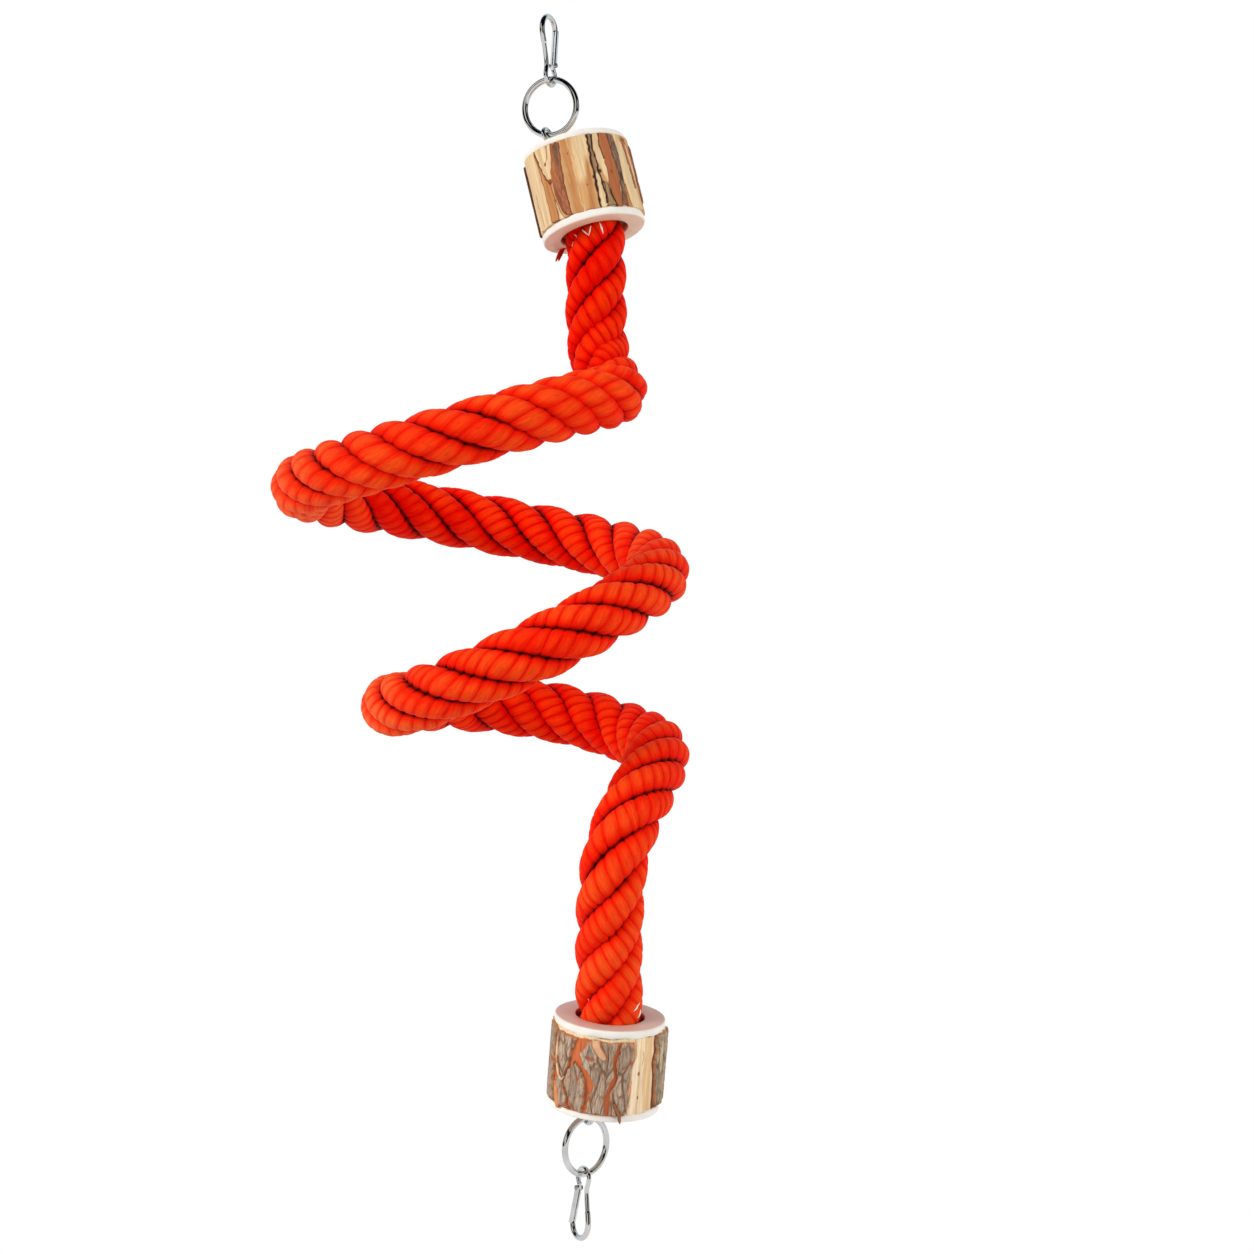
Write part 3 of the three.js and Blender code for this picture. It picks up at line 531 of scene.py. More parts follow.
class Place:
    """A sub-part's own frame: its turn and its origin in the part's frame."""

    def __init__(self, turned, origin):
        self.turned = turned
        self.origin = np.asarray(origin, float)

    def out(self, points):
        return np.asarray(points, float) @ self.turned.T + self.origin


def block_place(end):
    turned = turn("Y", ENDS[end]["tilt"]) @ turn("X", ENDS[end]["tip"])
    inside = node_points(f"{end}_collar_disc") @ turned
    low, high = inside.min(0), inside.max(0)
    mouth = np.array([(low[0] + high[0]) / 2, (low[1] + high[1]) / 2, low[2]])
    return Place(turned, turned @ mouth)


BLOCKS = {end: block_place(end) for end in ENDS}


def cloud(x, y, seed):
    """Smooth random values from -1 to 1 over a plane."""
    table = np.random.default_rng(seed).uniform(-1, 1, (NOISE_CELLS, NOISE_CELLS))
    column, row = np.floor(x).astype(int), np.floor(y).astype(int)
    across, along = smoothstep(x - column, 0, 1), smoothstep(y - row, 0, 1)

    def corner(right, up):
        return table[(column + right) % NOISE_CELLS, (row + up) % NOISE_CELLS]

    low = lerp(corner(0, 0), corner(1, 0), across)
    high = lerp(corner(0, 1), corner(1, 1), across)
    return lerp(low, high, along)


def scales(x, y, seed):
    """Cells with random middles: each point's depth inside its cell, and a random number for the cell."""
    rng = np.random.default_rng(seed)
    shift = rng.uniform(0.1, 0.9, (NOISE_CELLS, NOISE_CELLS, 2))
    number = rng.uniform(0, 1, (NOISE_CELLS, NOISE_CELLS))
    column, row = np.floor(x).astype(int), np.floor(y).astype(int)
    nearest = np.full(x.shape, 9.0)
    second = np.full(x.shape, 9.0)
    found = np.zeros(x.shape)
    for right in (-1, 0, 1):
        for up in (-1, 0, 1):
            cell = (column + right) % NOISE_CELLS, (row + up) % NOISE_CELLS
            away = np.hypot(column + right + shift[cell][..., 0] - x, row + up + shift[cell][..., 1] - y)
            closer = away < nearest
            second = np.where(closer, nearest, np.minimum(second, away))
            found = np.where(closer, number[cell], found)
            nearest = np.where(closer, away, nearest)
    return second - nearest, found


def linear(colour):
    share = np.asarray(colour, float) / 255
    return np.where(share <= 0.04045, share / 12.92, ((share + 0.055) / 1.055) ** 2.4)


def rgba(colour):
    return (*linear(colour), 1)


def mix(colour, other, share):
    """Goes from one colour to another by the share at each place."""
    return lerp(np.asarray(colour, float), np.asarray(other, float), np.asarray(share)[..., None])


def shaded(colour, factor):
    return np.asarray(colour, float) * factor[..., None]


# Lines and meshes
def spline(points, step):
    """Evenly spaced points on a centripetal curve through the given ones."""
    points = np.asarray(points, float)
    padded = np.vstack([2 * points[0] - points[1], points, 2 * points[-1] - points[-2]])
    share = np.linspace(0, 1, SPLINE_POINTS, endpoint=False)[:, None]
    dense = []
    for before, start, stop, after in zip(padded, padded[1:], padded[2:], padded[3:]):
        gap_before, gap, gap_after = (
            math.sqrt(np.linalg.norm(b - a)) for a, b in ((before, start), (start, stop), (stop, after))
        )
        leave = (start - before) / gap_before - (stop - before) / (gap_before + gap) + (stop - start) / gap
        arrive = (stop - start) / gap - (after - start) / (gap + gap_after) + (after - stop) / gap_after
        leave, arrive = leave * gap, arrive * gap
        bend = 2 * start - 2 * stop + leave + arrive
        sweep = 3 * stop - 3 * start - 2 * leave - arrive
        dense.append(start + leave * share + sweep * share**2 + bend * share**3)
    return respaced(np.vstack([*dense, points[-1:]]), step)


def lengths_along(line):
    return np.concatenate([[0], np.cumsum(np.linalg.norm(np.diff(line, axis=0), axis=1))])


def respaced(line, step):
    along = lengths_along(line)
    wanted = np.linspace(0, along[-1], max(2, round(along[-1] / step) + 1))
    return np.stack([np.interp(wanted, along, line[:, axis]) for axis in range(3)], axis=1)


def frames_along(line):
    """Each point's direction and two directions across it that don't twist about the line."""
    directions = unit(np.gradient(line, axis=0))
    across = np.cross(directions[0], (0, 1, 0) if abs(directions[0][1]) < 0.9 else (1, 0, 0))
    normals = []
    for direction in directions:
        across = across - direction * np.dot(across, direction)
        across = across / np.linalg.norm(across)
        normals.append(across)
    normals = np.array(normals)
    return directions, normals, np.cross(directions, normals)


def grid_faces(rows, columns, round_rows=False):
    row = np.arange(rows if round_rows else rows - 1)[:, None]
    column = np.arange(columns)[None, :]
    next_row, next_column = (row + 1) % rows, (column + 1) % columns
    corners = (row, column), (row, next_column), (next_row, next_column), (next_row, column)
    return np.stack([r * columns + c for r, c in corners], axis=-1).reshape(-1, 4)


def capped_faces(rows, columns):
    """Quads of a round grid, with one face over its first row and one over its last."""
    last = (rows - 1) * columns
    caps = [list(range(columns))[::-1], list(range(last, last + columns))]
    return grid_faces(rows, columns).tolist() + caps


def strip_faces(rows, columns):
    """Faces of a flat strip whose rows run along its top and back along its underside."""
    loop = 2 * columns
    faces = grid_faces(rows, loop).tolist()
    for first in (0, (rows - 1) * loop):
        last = first + loop - 1
        faces += [[first + i, first + i + 1, last - i - 1, last - i] for i in range(columns - 1)]
    return faces


def top_and_back(top, under):
    """Rows of such a strip, from its top and its underside."""
    return np.concatenate([top, under[:, ::-1]], axis=1)


def tube(line, radius, sides, closed=False):
    directions, normals, binormals = frames_along(line)
    if closed:
        directions = unit(np.roll(line, -1, axis=0) - np.roll(line, 1, axis=0))
        normals = unit(normals - directions * np.sum(normals * directions, axis=1, keepdims=True))
        binormals = np.cross(directions, normals)
    angles = full_turn(sides)
    cosines, sines = np.cos(angles)[None, :, None], np.sin(angles)[None, :, None]
    ring = cosines * normals[:, None] + sines * binormals[:, None]
    radius = np.broadcast_to(np.asarray(radius, float), len(line))
    points = (line[:, None] + radius[:, None, None] * ring).reshape(-1, 3)
    if closed:
        return points, grid_faces(len(line), sides, round_rows=True).tolist()
    return points, capped_faces(len(line), sides)


def lathe(rings, columns):
    """Points and faces of a closed form from rings of [radius, height], each a number or an array."""
    angles = full_turn(columns)
    points = []
    for radius, height in rings:
        radius = np.broadcast_to(radius, columns)
        height = np.broadcast_to(height, columns)
        points.append(np.stack([radius * np.cos(angles), radius * np.sin(angles), height], axis=1))
    return np.vstack(points), grid_faces(len(rings), columns, round_rows=True).tolist()


def joined(*parts):
    points, faces, count = [], [], 0
    for part_points, part_faces in parts:
        points.append(part_points)
        faces += [[corner + count for corner in face] for face in part_faces]
        count += len(part_points)
    return np.vstack(points), faces


def make_piece(name, shape, material, sharp_angle=None, turn_outward=False):
    points, faces = shape
    mesh = bpy.data.meshes.new(name)
    mesh.from_pydata((np.asarray(points) * MM).tolist(), [], faces)
    if turn_outward:
        work = bmesh.new()
        work.from_mesh(mesh)
        bmesh.ops.recalc_face_normals(work, faces=work.faces)
        work.to_mesh(mesh)
        work.free()
    mesh.shade_smooth()
    if sharp_angle:
        mesh.set_sharp_from_angle(angle=math.radians(sharp_angle))
    mesh.materials.append(material)
    piece = bpy.data.objects.new(name, mesh)
    bpy.context.scene.collection.objects.link(piece)
    return piece


def paint(piece, colours):
    """Gives each vertex of the piece a colour, as sRGB from 0 to 255."""
    attribute = piece.data.color_attributes.new("paint", "FLOAT_COLOR", "POINT")
    solid = np.ones((len(colours), 4), np.float32)
    solid[:, :3] = linear(colours)
    attribute.data.foreach_set("color", solid.ravel())


def lay_grain(piece, across, along):
    """A UV layer along the grain: millimetres across and along it at each corner of each face."""
    layer = piece.data.uv_layers.new(name="grain")
    corners = np.stack([across, along], axis=-1).astype(np.float32) / GRAIN_UNIT
    layer.data.foreach_set("uv", corners.ravel())


def lay_vertex_grain(piece, across, along):
    corners = mesh_corners(piece.data)
    lay_grain(piece, across[corners], along[corners])


def settle(piece, body, node=None):
    """Fixes a piece to a body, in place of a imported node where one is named."""
    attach(piece, body)
    if node:
        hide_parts(node)


# Materials
def add(tree, kind, inputs=None, **settings):
    node = tree.nodes.new(kind)
    for name, value in settings.items():
        setattr(node, name, value)
    for name, value in (inputs or {}).items():
        if isinstance(value, bpy.types.NodeSocket):
            tree.links.new(value, node.inputs[name])
        else:
            node.inputs[name].default_value = value
    return node


def new_material(name, **sockets):
    material = bpy.data.materials.new(name)
    material.use_nodes = True
    shader = material.node_tree.nodes["Principled BSDF"]
    for socket, value in sockets.items():
        shader.inputs[socket.replace("_", " ")].default_value = value
    return material, material.node_tree, shader


def ramp(tree, factor, *stops):
    node = add(tree, "ShaderNodeValToRGB", {"Fac": factor})
    elements = node.color_ramp.elements
    while len(elements) < len(stops):
        elements.new(0.5)
    for element, (position, colour) in zip(elements, stops):
        element.position = position
        element.color = rgba(colour)
    return node.outputs["Color"]


def grain_noise(tree, across, along, detail):
    """Noise drawn out along the grain layer."""
    grain = add(tree, "ShaderNodeUVMap", uv_map="grain").outputs["UV"]
    drawn = add(tree, "ShaderNodeMapping", {"Vector": grain, "Scale": (across, along, 1)}).outputs["Vector"]
    return add(tree, "ShaderNodeTexNoise", {"Vector": drawn, "Scale": 1, "Detail": detail}).outputs["Fac"]


def object_noise(tree, scale, detail):
    """Noise of one size in all directions."""
    place = add(tree, "ShaderNodeTexCoord").outputs["Object"]
    inputs = {"Vector": place, "Scale": scale, "Detail": detail}
    return add(tree, "ShaderNodeTexNoise", inputs).outputs["Fac"]


def multiply(tree, colour, factor, amount):
    inputs = {"Factor": amount, "A": colour, "B": factor}
    return add(tree, "ShaderNodeMix", inputs, data_type="RGBA", blend_type="MULTIPLY").outputs["Result"]


def two_shades(tree, noise, shades):
    return ramp(tree, noise, (0.3, shades[0]), (0.7, shades[1]))


def bumped(tree, shader, height, distance):
    bump = add(tree, "ShaderNodeBump", {"Height": height, "Distance": distance * MM, "Strength": 1})
    tree.links.new(bump.outputs["Normal"], shader.inputs["Normal"])


def painted_material(name, streaks, shades, amount, bump_height, **sockets):
    """A material that takes its colour from the painted layer, with streaks along the grain."""
    material, tree, shader = new_material(name, **sockets)
    base = add(tree, "ShaderNodeVertexColor", layer_name="paint").outputs["Color"]
    noise = grain_noise(tree, *streaks)
    colour = multiply(tree, base, two_shades(tree, noise, shades), amount)
    tree.links.new(colour, shader.inputs["Base Color"])
    bumped(tree, shader, noise, bump_height)
    return material


def chrome_material():
    material, tree, shader = new_material("chrome", Metallic=1, Roughness=0.12)
    smudge = object_noise(tree, 90, 2)
    colour = two_shades(tree, smudge, ((206, 208, 208), (226, 228, 228)))
    tree.links.new(colour, shader.inputs["Base Color"])
    polish = add(tree, "ShaderNodeMapRange", {"Value": smudge, "To Min": 0.06, "To Max": 0.1})
    tree.links.new(polish.outputs["Result"], shader.inputs["Roughness"])
    return material


def speckled_material(name, scale, shades, bump_height, detail=5, **sockets):
    material, tree, shader = new_material(name, **sockets)
    speckle = object_noise(tree, scale, detail)
    tree.links.new(two_shades(tree, speckle, shades), shader.inputs["Base Color"])
    bumped(tree, shader, speckle, bump_height)
    return material


def disc_material():
    material, tree, shader = new_material("disc_plastic", Roughness=0.42)
    base = add(tree, "ShaderNodeVertexColor", layer_name="paint").outputs["Color"]
    cloudy = object_noise(tree, 90, 4)
    shade = two_shades(tree, cloudy, ((240, 236, 232), (255, 255, 255)))
    tree.links.new(multiply(tree, base, shade, 0.6), shader.inputs["Base Color"])
    bumped(tree, shader, cloudy, 0.15)
    return material


CHROME = chrome_material()
STEEL = speckled_material(
    "zinc_steel", 700, ((150, 152, 155), (196, 198, 200)), 0.05, detail=2, Metallic=1, Roughness=0.4,
)
WOOD = painted_material(
    "log_wood", (7, 0.4, 5), ((214, 192, 166), (255, 255, 255)), 0.6, 0.2, Roughness=0.65,
)
BARK = painted_material(
    "bark", (9, 1.6, 6), ((190, 180, 172), (255, 255, 255)), 0.7, 0.4, Roughness=0.9,
)
ROPE_COTTON = painted_material(
    "rope_cotton", (14, 0.6, 4), ((206, 180, 160), (255, 255, 255)), 0.7, 0.2,
    Roughness=0.6, Specular_IOR_Level=0.05, Specular_Tint=(1, 0.3, 0.08, 1),
    Sheen_Weight=0.16, Sheen_Roughness=0.4, Sheen_Tint=(1, 0.22, 0.03, 1),
)
DISC = disc_material()
GLUE = speckled_material("glue", 300, ((236, 226, 212), (250, 246, 238)), 0.1, Roughness=0.35)
TWINE = speckled_material("twine", 900, ((206, 194, 172), (240, 232, 216)), 0.2, Roughness=0.9)


# Rope
def coil_point(turns, mouth):
    narrowing = smoothstep(turns, COIL_NARROWS_FROM, COIL_NARROWS_TO)
    radius = lerp(COIL_RADIUS_UPPER, COIL_RADIUS_LOWER, narrowing)
    angle = 2 * math.pi * turns
    left_droop = LEFT_DROOP_PER_TURN * turns * (1 - math.cos(angle)) / 2
    front_droop = (FRONT_DROOP + FRONT_DROOP_PER_TURN * turns) * math.sin(angle)
    lift = CORNER_LIFT * math.sin(2 * angle)
    height = COIL_START_HEIGHT - COIL_PITCH * turns - left_droop - front_droop + lift
    right = COIL_RIGHT - radius + radius * math.cos(angle)
    return mouth + np.array([right, COIL_MIDDLE - radius * math.sin(angle), height])


def rope_line():
    """The rope's middle line, from inside the upper block to inside the lower one."""
    mouth = BLOCKS["upper"].origin
    steps = round((COIL_LAST_TURN - COIL_FIRST_TURN) * COIL_POINTS_PER_TURN)
    coil = [coil_point(turns, mouth) for turns in np.linspace(COIL_FIRST_TURN, COIL_LAST_TURN, steps + 1)]
    depths = [(0, 0, ROPE_IN_BLOCK * share) for share in (1, 0.5, 0)]
    points = [
        *BLOCKS["upper"].out(depths),
        *(mouth + np.array(ROPE_LEAD_IN)),
        *coil,
        *(coil[-1] + np.array(ROPE_LEAD_OUT)),
        *BLOCKS["lower"].out(depths[::-1]),
    ]
    return spline(points, ROPE_STEP)


def at_length(along, table):
    lengths, values = zip(*table)
    return np.interp(along - ROPE_IN_BLOCK, lengths, values)


def ripple(place, strand, kind):
    """Smooth random values along one strand, from -1 to 1."""
    wave, shift, seed = kind
    return cloud(place / wave, np.full(place.shape, strand * shift), seed)


def strand_shape(line, strand):
    """One strand's points on a grid whose rows follow its yarns, and what its colours depend on."""
    along = lengths_along(line)
    _, normals, binormals = frames_along(line)
    radius = at_length(along, ROPE_RADII)
    angle = 2 * math.pi * (at_length(along, ROPE_TWIST) + strand / STRANDS)
    outward = np.cos(angle)[:, None] * normals + np.sin(angle)[:, None] * binormals
    middle = line + (STRAND_REACH * radius)[:, None] * outward
    heading = unit(np.gradient(middle, axis=0))
    outward = unit(outward - heading * np.sum(outward * heading, axis=1, keepdims=True))

    eased = np.concatenate([[0], np.cumsum(np.diff(along) / at_length(along, YARN_STRETCH)[1:])])
    yarn_count = int((eased[-1] - YARN_TURN) / YARN_TURN * YARNS)
    start = (np.arange(yarn_count)[:, None] + np.array(YARN_POINTS)).ravel() * YARN_TURN / YARNS
    flank = np.tile(np.abs(2 * np.array(YARN_POINTS) - 1), yarn_count)[:, None]
    share = np.arange(STRAND_COLUMNS) / STRAND_COLUMNS
    place = np.interp(start[:, None] + YARN_TURN * share, eased, along)
    place = place + YARN_WANDER * ripple(place, strand, WANDER_RIPPLE)
    around = np.broadcast_to(-2 * math.pi * share, place.shape)

    def at(values):
        return np.stack([np.interp(place, along, values[:, axis]) for axis in range(3)], axis=-1)

    local_radius = np.interp(place, along, radius)
    out, ahead, centre = unit(at(outward)), unit(at(heading)), at(middle)
    aside = np.cross(ahead, out)
    lively = ripple(place, strand, STRAND_RIPPLE)
    plump = ripple(place, strand, YARN_RIPPLE)
    sunk = CREASE_DEPTH + CREASE_CHANGE * cloud(place / CREASE_WAVE, share * 5 + strand * 11, CREASE_SEED)
    height = STRAND_RADIUS * local_radius - YARN_CROWN * sunk * flank**YARN_ROUNDNESS
    height = height + STRAND_SWELL * lively + YARN_SWELL * plump
    points = centre + (height * np.cos(around))[..., None] * out
    points = points + (height * np.sin(around) * STRAND_WIDEN)[..., None] * aside
    away = np.linalg.norm(points - at(line), axis=-1) / local_radius
    return points, away, np.broadcast_to(flank, place.shape), sunk, lively, at_length(place, ROPE_PAINTED_LIGHT)


def strand_faces(rows):
    """Quads of the grid whose last column meets its first one a full yarn turn later."""
    per_turn = YARNS * len(YARN_POINTS)
    row = np.arange(rows - 1)[:, None]
    column = np.arange(STRAND_COLUMNS)[None, :]
    wraps = column == STRAND_COLUMNS - 1
    next_row = np.where(wraps, row + per_turn, row)
    next_column = np.where(wraps, 0, column + 1)
    row, column = np.broadcast_to(row, next_row.shape), np.broadcast_to(column, next_row.shape)
    corners = (row, column), (row + 1, column), (next_row + 1, next_column), (next_row, next_column)
    quads = np.stack([r * STRAND_COLUMNS + c for r, c in corners], axis=-1)
    return quads[next_row + 1 < rows]


def rope_colours(away, flank, sunk, lively, painted_light):
    """Painted highlight in orange on the yarns' crowns, the red dye on their flanks, painted shade in their
    creases and deep painted shade and shadow between the strands, all lighter where painted light lies.
    """
    # Painted light along the rope: lighter, more orange colours and narrower painted groove shade where it
    # lies
    away = away - UNLIT_GROOVE_WIDENING * (1 - painted_light) ** 2
    painted_light = painted_light[..., None] ** PAINTED_LIGHT_POWERS
    crown_highlight, body, crease_shade, deep_shade = (lerp(unlit_colour, lit_colour, painted_light) for unlit_colour, lit_colour in ROPE_DYE_HIGHLIGHT_AND_SHADE)
    # Painted highlight on the crowns of yarns and strands, giving way to the dye on the flanks, towards the
    # grooves and on random redder stretches
    shade_and_tone = FLANK_SHADE * flank**2 + GROOVE_SIDE_SHADE * (1 - smoothstep(away, *HIGHLIGHT_REACH))
    shade_and_tone = shade_and_tone + RIPPLE_RED * smoothstep(-lively, -0.3, 0.8)
    colour = mix(crown_highlight, body, np.clip(shade_and_tone, 0, 1))
    # Painted shade along the creases between the yarns
    crease_shading = CREASE_SHADE_STRENGTH * np.clip(sunk, 0, 1) * flank**CREASE_SHADE_SHARPNESS
    colour = mix(colour, crease_shade, crease_shading)
    # Painted deep shade and nearly black painted shadow in the grooves between the strands, blackest where
    # the yarns' creases meet them
    colour = mix(colour, deep_shade, 1 - smoothstep(away, *DEEP_SHADE_REACH))
    shadow_spots = lerp(LEAST_GROOVE_SHADOW, 1, smoothstep(flank, 0.3, 1))
    return mix(colour, GROOVE_SHADOW, shadow_spots * (1 - smoothstep(away, *SHADOW_REACH)))


def make_rope():
    line = rope_line()
    points, faces, colours, across, lengthways = [], [], [], [], []
    count = 0
    for strand in range(STRANDS):
        surface, *shading = strand_shape(line, strand)
        quads = strand_faces(len(surface))
        points.append(surface.reshape(-1, 3))
        colours.append(rope_colours(*shading).reshape(-1, 3))
        faces.append(quads + count)
        count += surface.shape[0] * STRAND_COLUMNS
        row, column = np.divmod(quads[:, [0]], STRAND_COLUMNS)
        yarn_rows = row * YARN_TURN / YARNS / len(YARN_POINTS)
        across.append(yarn_rows + np.array([0, 1, 1, 0]) + strand * STRAND_GRAIN_SHIFT)
        lengthways.append((column + np.array([0, 0, 1, 1])) * COLUMN_GRAIN + row * ROW_GRAIN)
    rope = make_piece("laid_rope", (np.vstack(points), np.vstack(faces).tolist()), ROPE_COTTON)
    paint(rope, np.vstack(colours))
    lay_grain(rope, np.vstack(across), np.vstack(lengthways))
    core = make_piece("core_rod", tube(respaced(line, CORE_STEP), CORE_DIAMETER / 2, CORE_SIDES), STEEL)
    for piece, node, slot in ((rope, "rope", "rope"), (core, "core_wire", "steel")):
        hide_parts(node)
        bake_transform(piece)
    return rope


# Metal fittings
CLIP_WIRE_RADIUS = CLIP_WIRE / 2
BOW_RADIUS = (CLIP_BOW_WIDTH - CLIP_WIRE) / 2
BOW_CENTRE = CLIP_WIRE_RADIUS - BOW_RADIUS
CLIP_EYE_RADIUS = (RING_WIRE + CLIP_EYE_ROOM + CLIP_WIRE) / 2
CLIP_EYE_CENTRE = 3 * CLIP_WIRE_RADIUS - CLIP_LENGTH + CLIP_EYE_RADIUS
PIVOT = np.array([CLIP_WAIST_WIDTH / 2, 0, CLIP_EYE_CENTRE + CLIP_WAIST_RISE])
BOW_REACH = math.hypot(PIVOT[0], BOW_CENTRE - PIVOT[2])
FLARE = math.asin(BOW_RADIUS / BOW_REACH) - math.atan2(PIVOT[0], BOW_CENTRE - PIVOT[2])
GATE_LENGTH = math.sqrt(BOW_REACH**2 - BOW_RADIUS**2) + CLIP_NOSE_RISE
GATE_HEEL = GATE_DEPTH / 2 + PIVOT_GAP
GATE_PLACE = Place(turn("Y", math.degrees(FLARE)), PIVOT)


def arc(centre, radius, start, stop, count):
    angles = np.radians(np.linspace(start, stop, count))
    return np.stack([radius * np.cos(angles), np.zeros(count), centre + radius * np.sin(angles)], axis=1)


def hoop(radius, count):
    return arc(0, radius, 0, 360, count + 1)[:-1]


def clip_places():
    lean = turn("Y", LOWER_HANG_LEAN)
    turns = {
        "upper": turn("Y", UPPER_CLIP_LEAN) @ turn("Z", UPPER_CLIP_TURN),
        "lower": lean @ turn("Z", LOWER_CLIP_TURN) @ turn("X", 180),
    }
    rivets = {end: node_middle(f"{end}_clip_rivet") for end in turns}
    return {end: Place(turned, rivets[end] - turned @ PIVOT) for end, turned in turns.items()}


def clip_body_shape():
    nose_low = math.degrees(CLIP_NOSE_RISE / BOW_RADIUS - FLARE) + CLIP_NOSE_GAP
    bow = arc(BOW_CENTRE, BOW_RADIUS, nose_low, 180 + math.degrees(FLARE), CLIP_BOW_POINTS)
    eye = arc(CLIP_EYE_CENTRE, CLIP_EYE_RADIUS, *CLIP_EYE_ANGLES, CLIP_EYE_POINTS)
    waist = [-PIVOT[0], 0, PIVOT[2]]
    tail = GATE_PLACE.out([0, 0, -GATE_HEEL - CLIP_WIRE_RADIUS / 2])
    line = spline([*bow, waist, *eye, tail], CLIP_LINE_STEP)
    bow_share = smoothstep(line[:, 2] - CLIP_STEP_HEIGHT, -CLIP_STEP_SLOPE, CLIP_STEP_SLOPE)
    wire = tube(line, lerp(CLIP_SPINE_WIRE, CLIP_BOW_WIRE, bow_share) / 2, CLIP_SIDES)
    half = CLIP_TANG_THICKNESS / 2
    tang_depth = CLIP_WIRE_RADIUS - CLIP_TANG_PLAY
    tang = flat_bar(tang_depth, half, -GATE_HEEL - CLIP_WIRE_RADIUS, CLIP_WIRE_RADIUS)
    tongue = flat_bar(TONGUE_DEPTH, half, GATE_LENGTH - TONGUE_BELOW, GATE_LENGTH + TONGUE_ABOVE)
    return joined(wire, tang, tongue)


def flat_bar(half_depth, half_width, low, high):
    """A small bar along the gate, with a rounded top, in the clip's frame."""
    ends = np.radians(np.linspace(0, 180, 9))
    top = np.stack([half_depth * np.cos(ends), high - half_depth + half_depth * np.sin(ends)], axis=1)
    outline = np.vstack([[(-half_depth, low), (half_depth, low)], top])
    count = len(outline)
    sides = [np.insert(outline, 1, side, axis=1) for side in (-half_width, half_width)]
    faces = [list(range(count)), list(range(2 * count - 1, count - 1, -1))]
    faces += [[a, a + count, (a + 1) % count + count, (a + 1) % count] for a in range(count)]
    return GATE_PLACE.out(np.vstack(sides)), faces


def clip_gate_shape():
    """A folded bar with a slot along its inner side and a rounded heel."""
    depth, width, slot = GATE_DEPTH / 2, GATE_WIDTH / 2, GATE_SLOT / 2
    flat, corner = depth - GATE_EDGE, width - GATE_EDGE
    section = np.array([
        (GATE_SLOT_FLOOR, slot), (GATE_SLOT_FLOOR, -slot), (-depth, -slot), (-depth, -corner),
        (-flat, -width), (flat, -width), (depth, -corner), (depth, corner), (flat, width), (-flat, width),
        (-depth, corner), (-depth, slot),
    ])
    heel = depth * np.sin(np.radians(np.linspace(-85, 0, 8)))
    heights = np.concatenate([heel, np.linspace(1, GATE_LENGTH - 0.5, 16), [GATE_LENGTH]])
    rows = []
    for height in heights:
        narrow = math.sqrt(max(0, 1 - (min(height, 0) / depth) ** 2))
        nose = GATE_NOSE if height == GATE_LENGTH else 1
        rows.append(np.column_stack([
            section[:, 0] * narrow * nose, section[:, 1] * nose, np.full(len(section), height),
        ]))
    return GATE_PLACE.out(np.vstack(rows)), capped_faces(len(rows), len(section))


def make_clips():
    for end, place in clip_places().items():
        for kind, shape, body in (
            ("clip_body", clip_body_shape(), f"{end}_clip"),
            ("clip_gate", clip_gate_shape(), f"{end}_clip_gate"),
        ):
            points, faces = shape
            piece = make_piece(f"{end}_bent_{kind}", (place.out(points), faces), CHROME, sharp_angle=40)
            settle(piece, body, f"{end}_{kind}")


def make_rings():
    radius = (RING_DIAMETER - RING_WIRE) / 2
    turns = {"upper": turn("Z", RING_TURNS["upper"])}
    turns["lower"] = turn("Y", LOWER_HANG_LEAN) @ turn("Z", RING_TURNS["lower"])
    for end, turned in turns.items():
        points, faces = tube(hoop(radius, RING_POINTS), RING_WIRE / 2, RING_SIDES, closed=True)
        place = Place(turned, node_middle(f"{end}_ring"))
        ring = make_piece(f"{end}_smooth_ring", (place.out(points), faces), CHROME)
        settle(ring, f"{end}_ring", f"{end}_ring")


def eye_bolt_shape(end):
    sizes = ENDS[end]
    radius = (RING_WIRE + EYE_ROOM + EYE_WIRE) / 2
    centre = BLOCK_HEIGHT + sizes["eye_stand"]
    points, faces = tube(hoop(radius, EYE_POINTS), EYE_WIRE / 2, EYE_SIDES, closed=True)
    points = points @ turn("Z", sizes["eye_turn"]).T + (0, 0, centre)
    shank = SHANK_DIAMETER / 2
    top = centre - radius + EYE_OVERLAP
    heights = np.arange(SHANK_LOW, top - 2.4, THREAD_ROW)
    depths = THREAD_DEPTH * np.abs(np.sin(math.pi * heights / THREAD_PITCH))
    threads = zip(shank - depths, heights)
    neck = [(shank, top - 2.2), (shank * 0.98, top - 1.4), (shank * 0.8, top - 0.4), (AXIS_RADIUS, top)]
    bolt = lathe([(AXIS_RADIUS, SHANK_LOW), *threads, *neck], SHANK_SIDES)
    points, faces = joined((points, faces), bolt)
    return points - (sizes["eye_offset"], 0, 0), faces


def make_eye_bolts():
    for end in ENDS:
        points, faces = eye_bolt_shape(end)
        bolt = make_piece(f"{end}_threaded_eye", (BLOCKS[end].out(points), faces), CHROME, sharp_angle=50)
        settle(bolt, f"{end}_end", f"{end}_eye_bolt")


# Log blocks
def block_angle(end, spread):
    front = ENDS[end]["front"]
    return np.radians(front - math.copysign(1, front) * spread)


def log_radius(end, spread):
    angle = block_angle(end, spread)
    return ENDS[end]["log"] / 2 + 0.7 * np.cos(3 * angle + 1) + 0.4 * np.cos(5 * angle + 0.4)


def on_block(end, spread, height, lift):
    angle = block_angle(end, spread)
    radius = log_radius(end, spread) + lift
    return BLOCKS[end].out(np.stack([radius * np.cos(angle), radius * np.sin(angle), height], axis=-1))


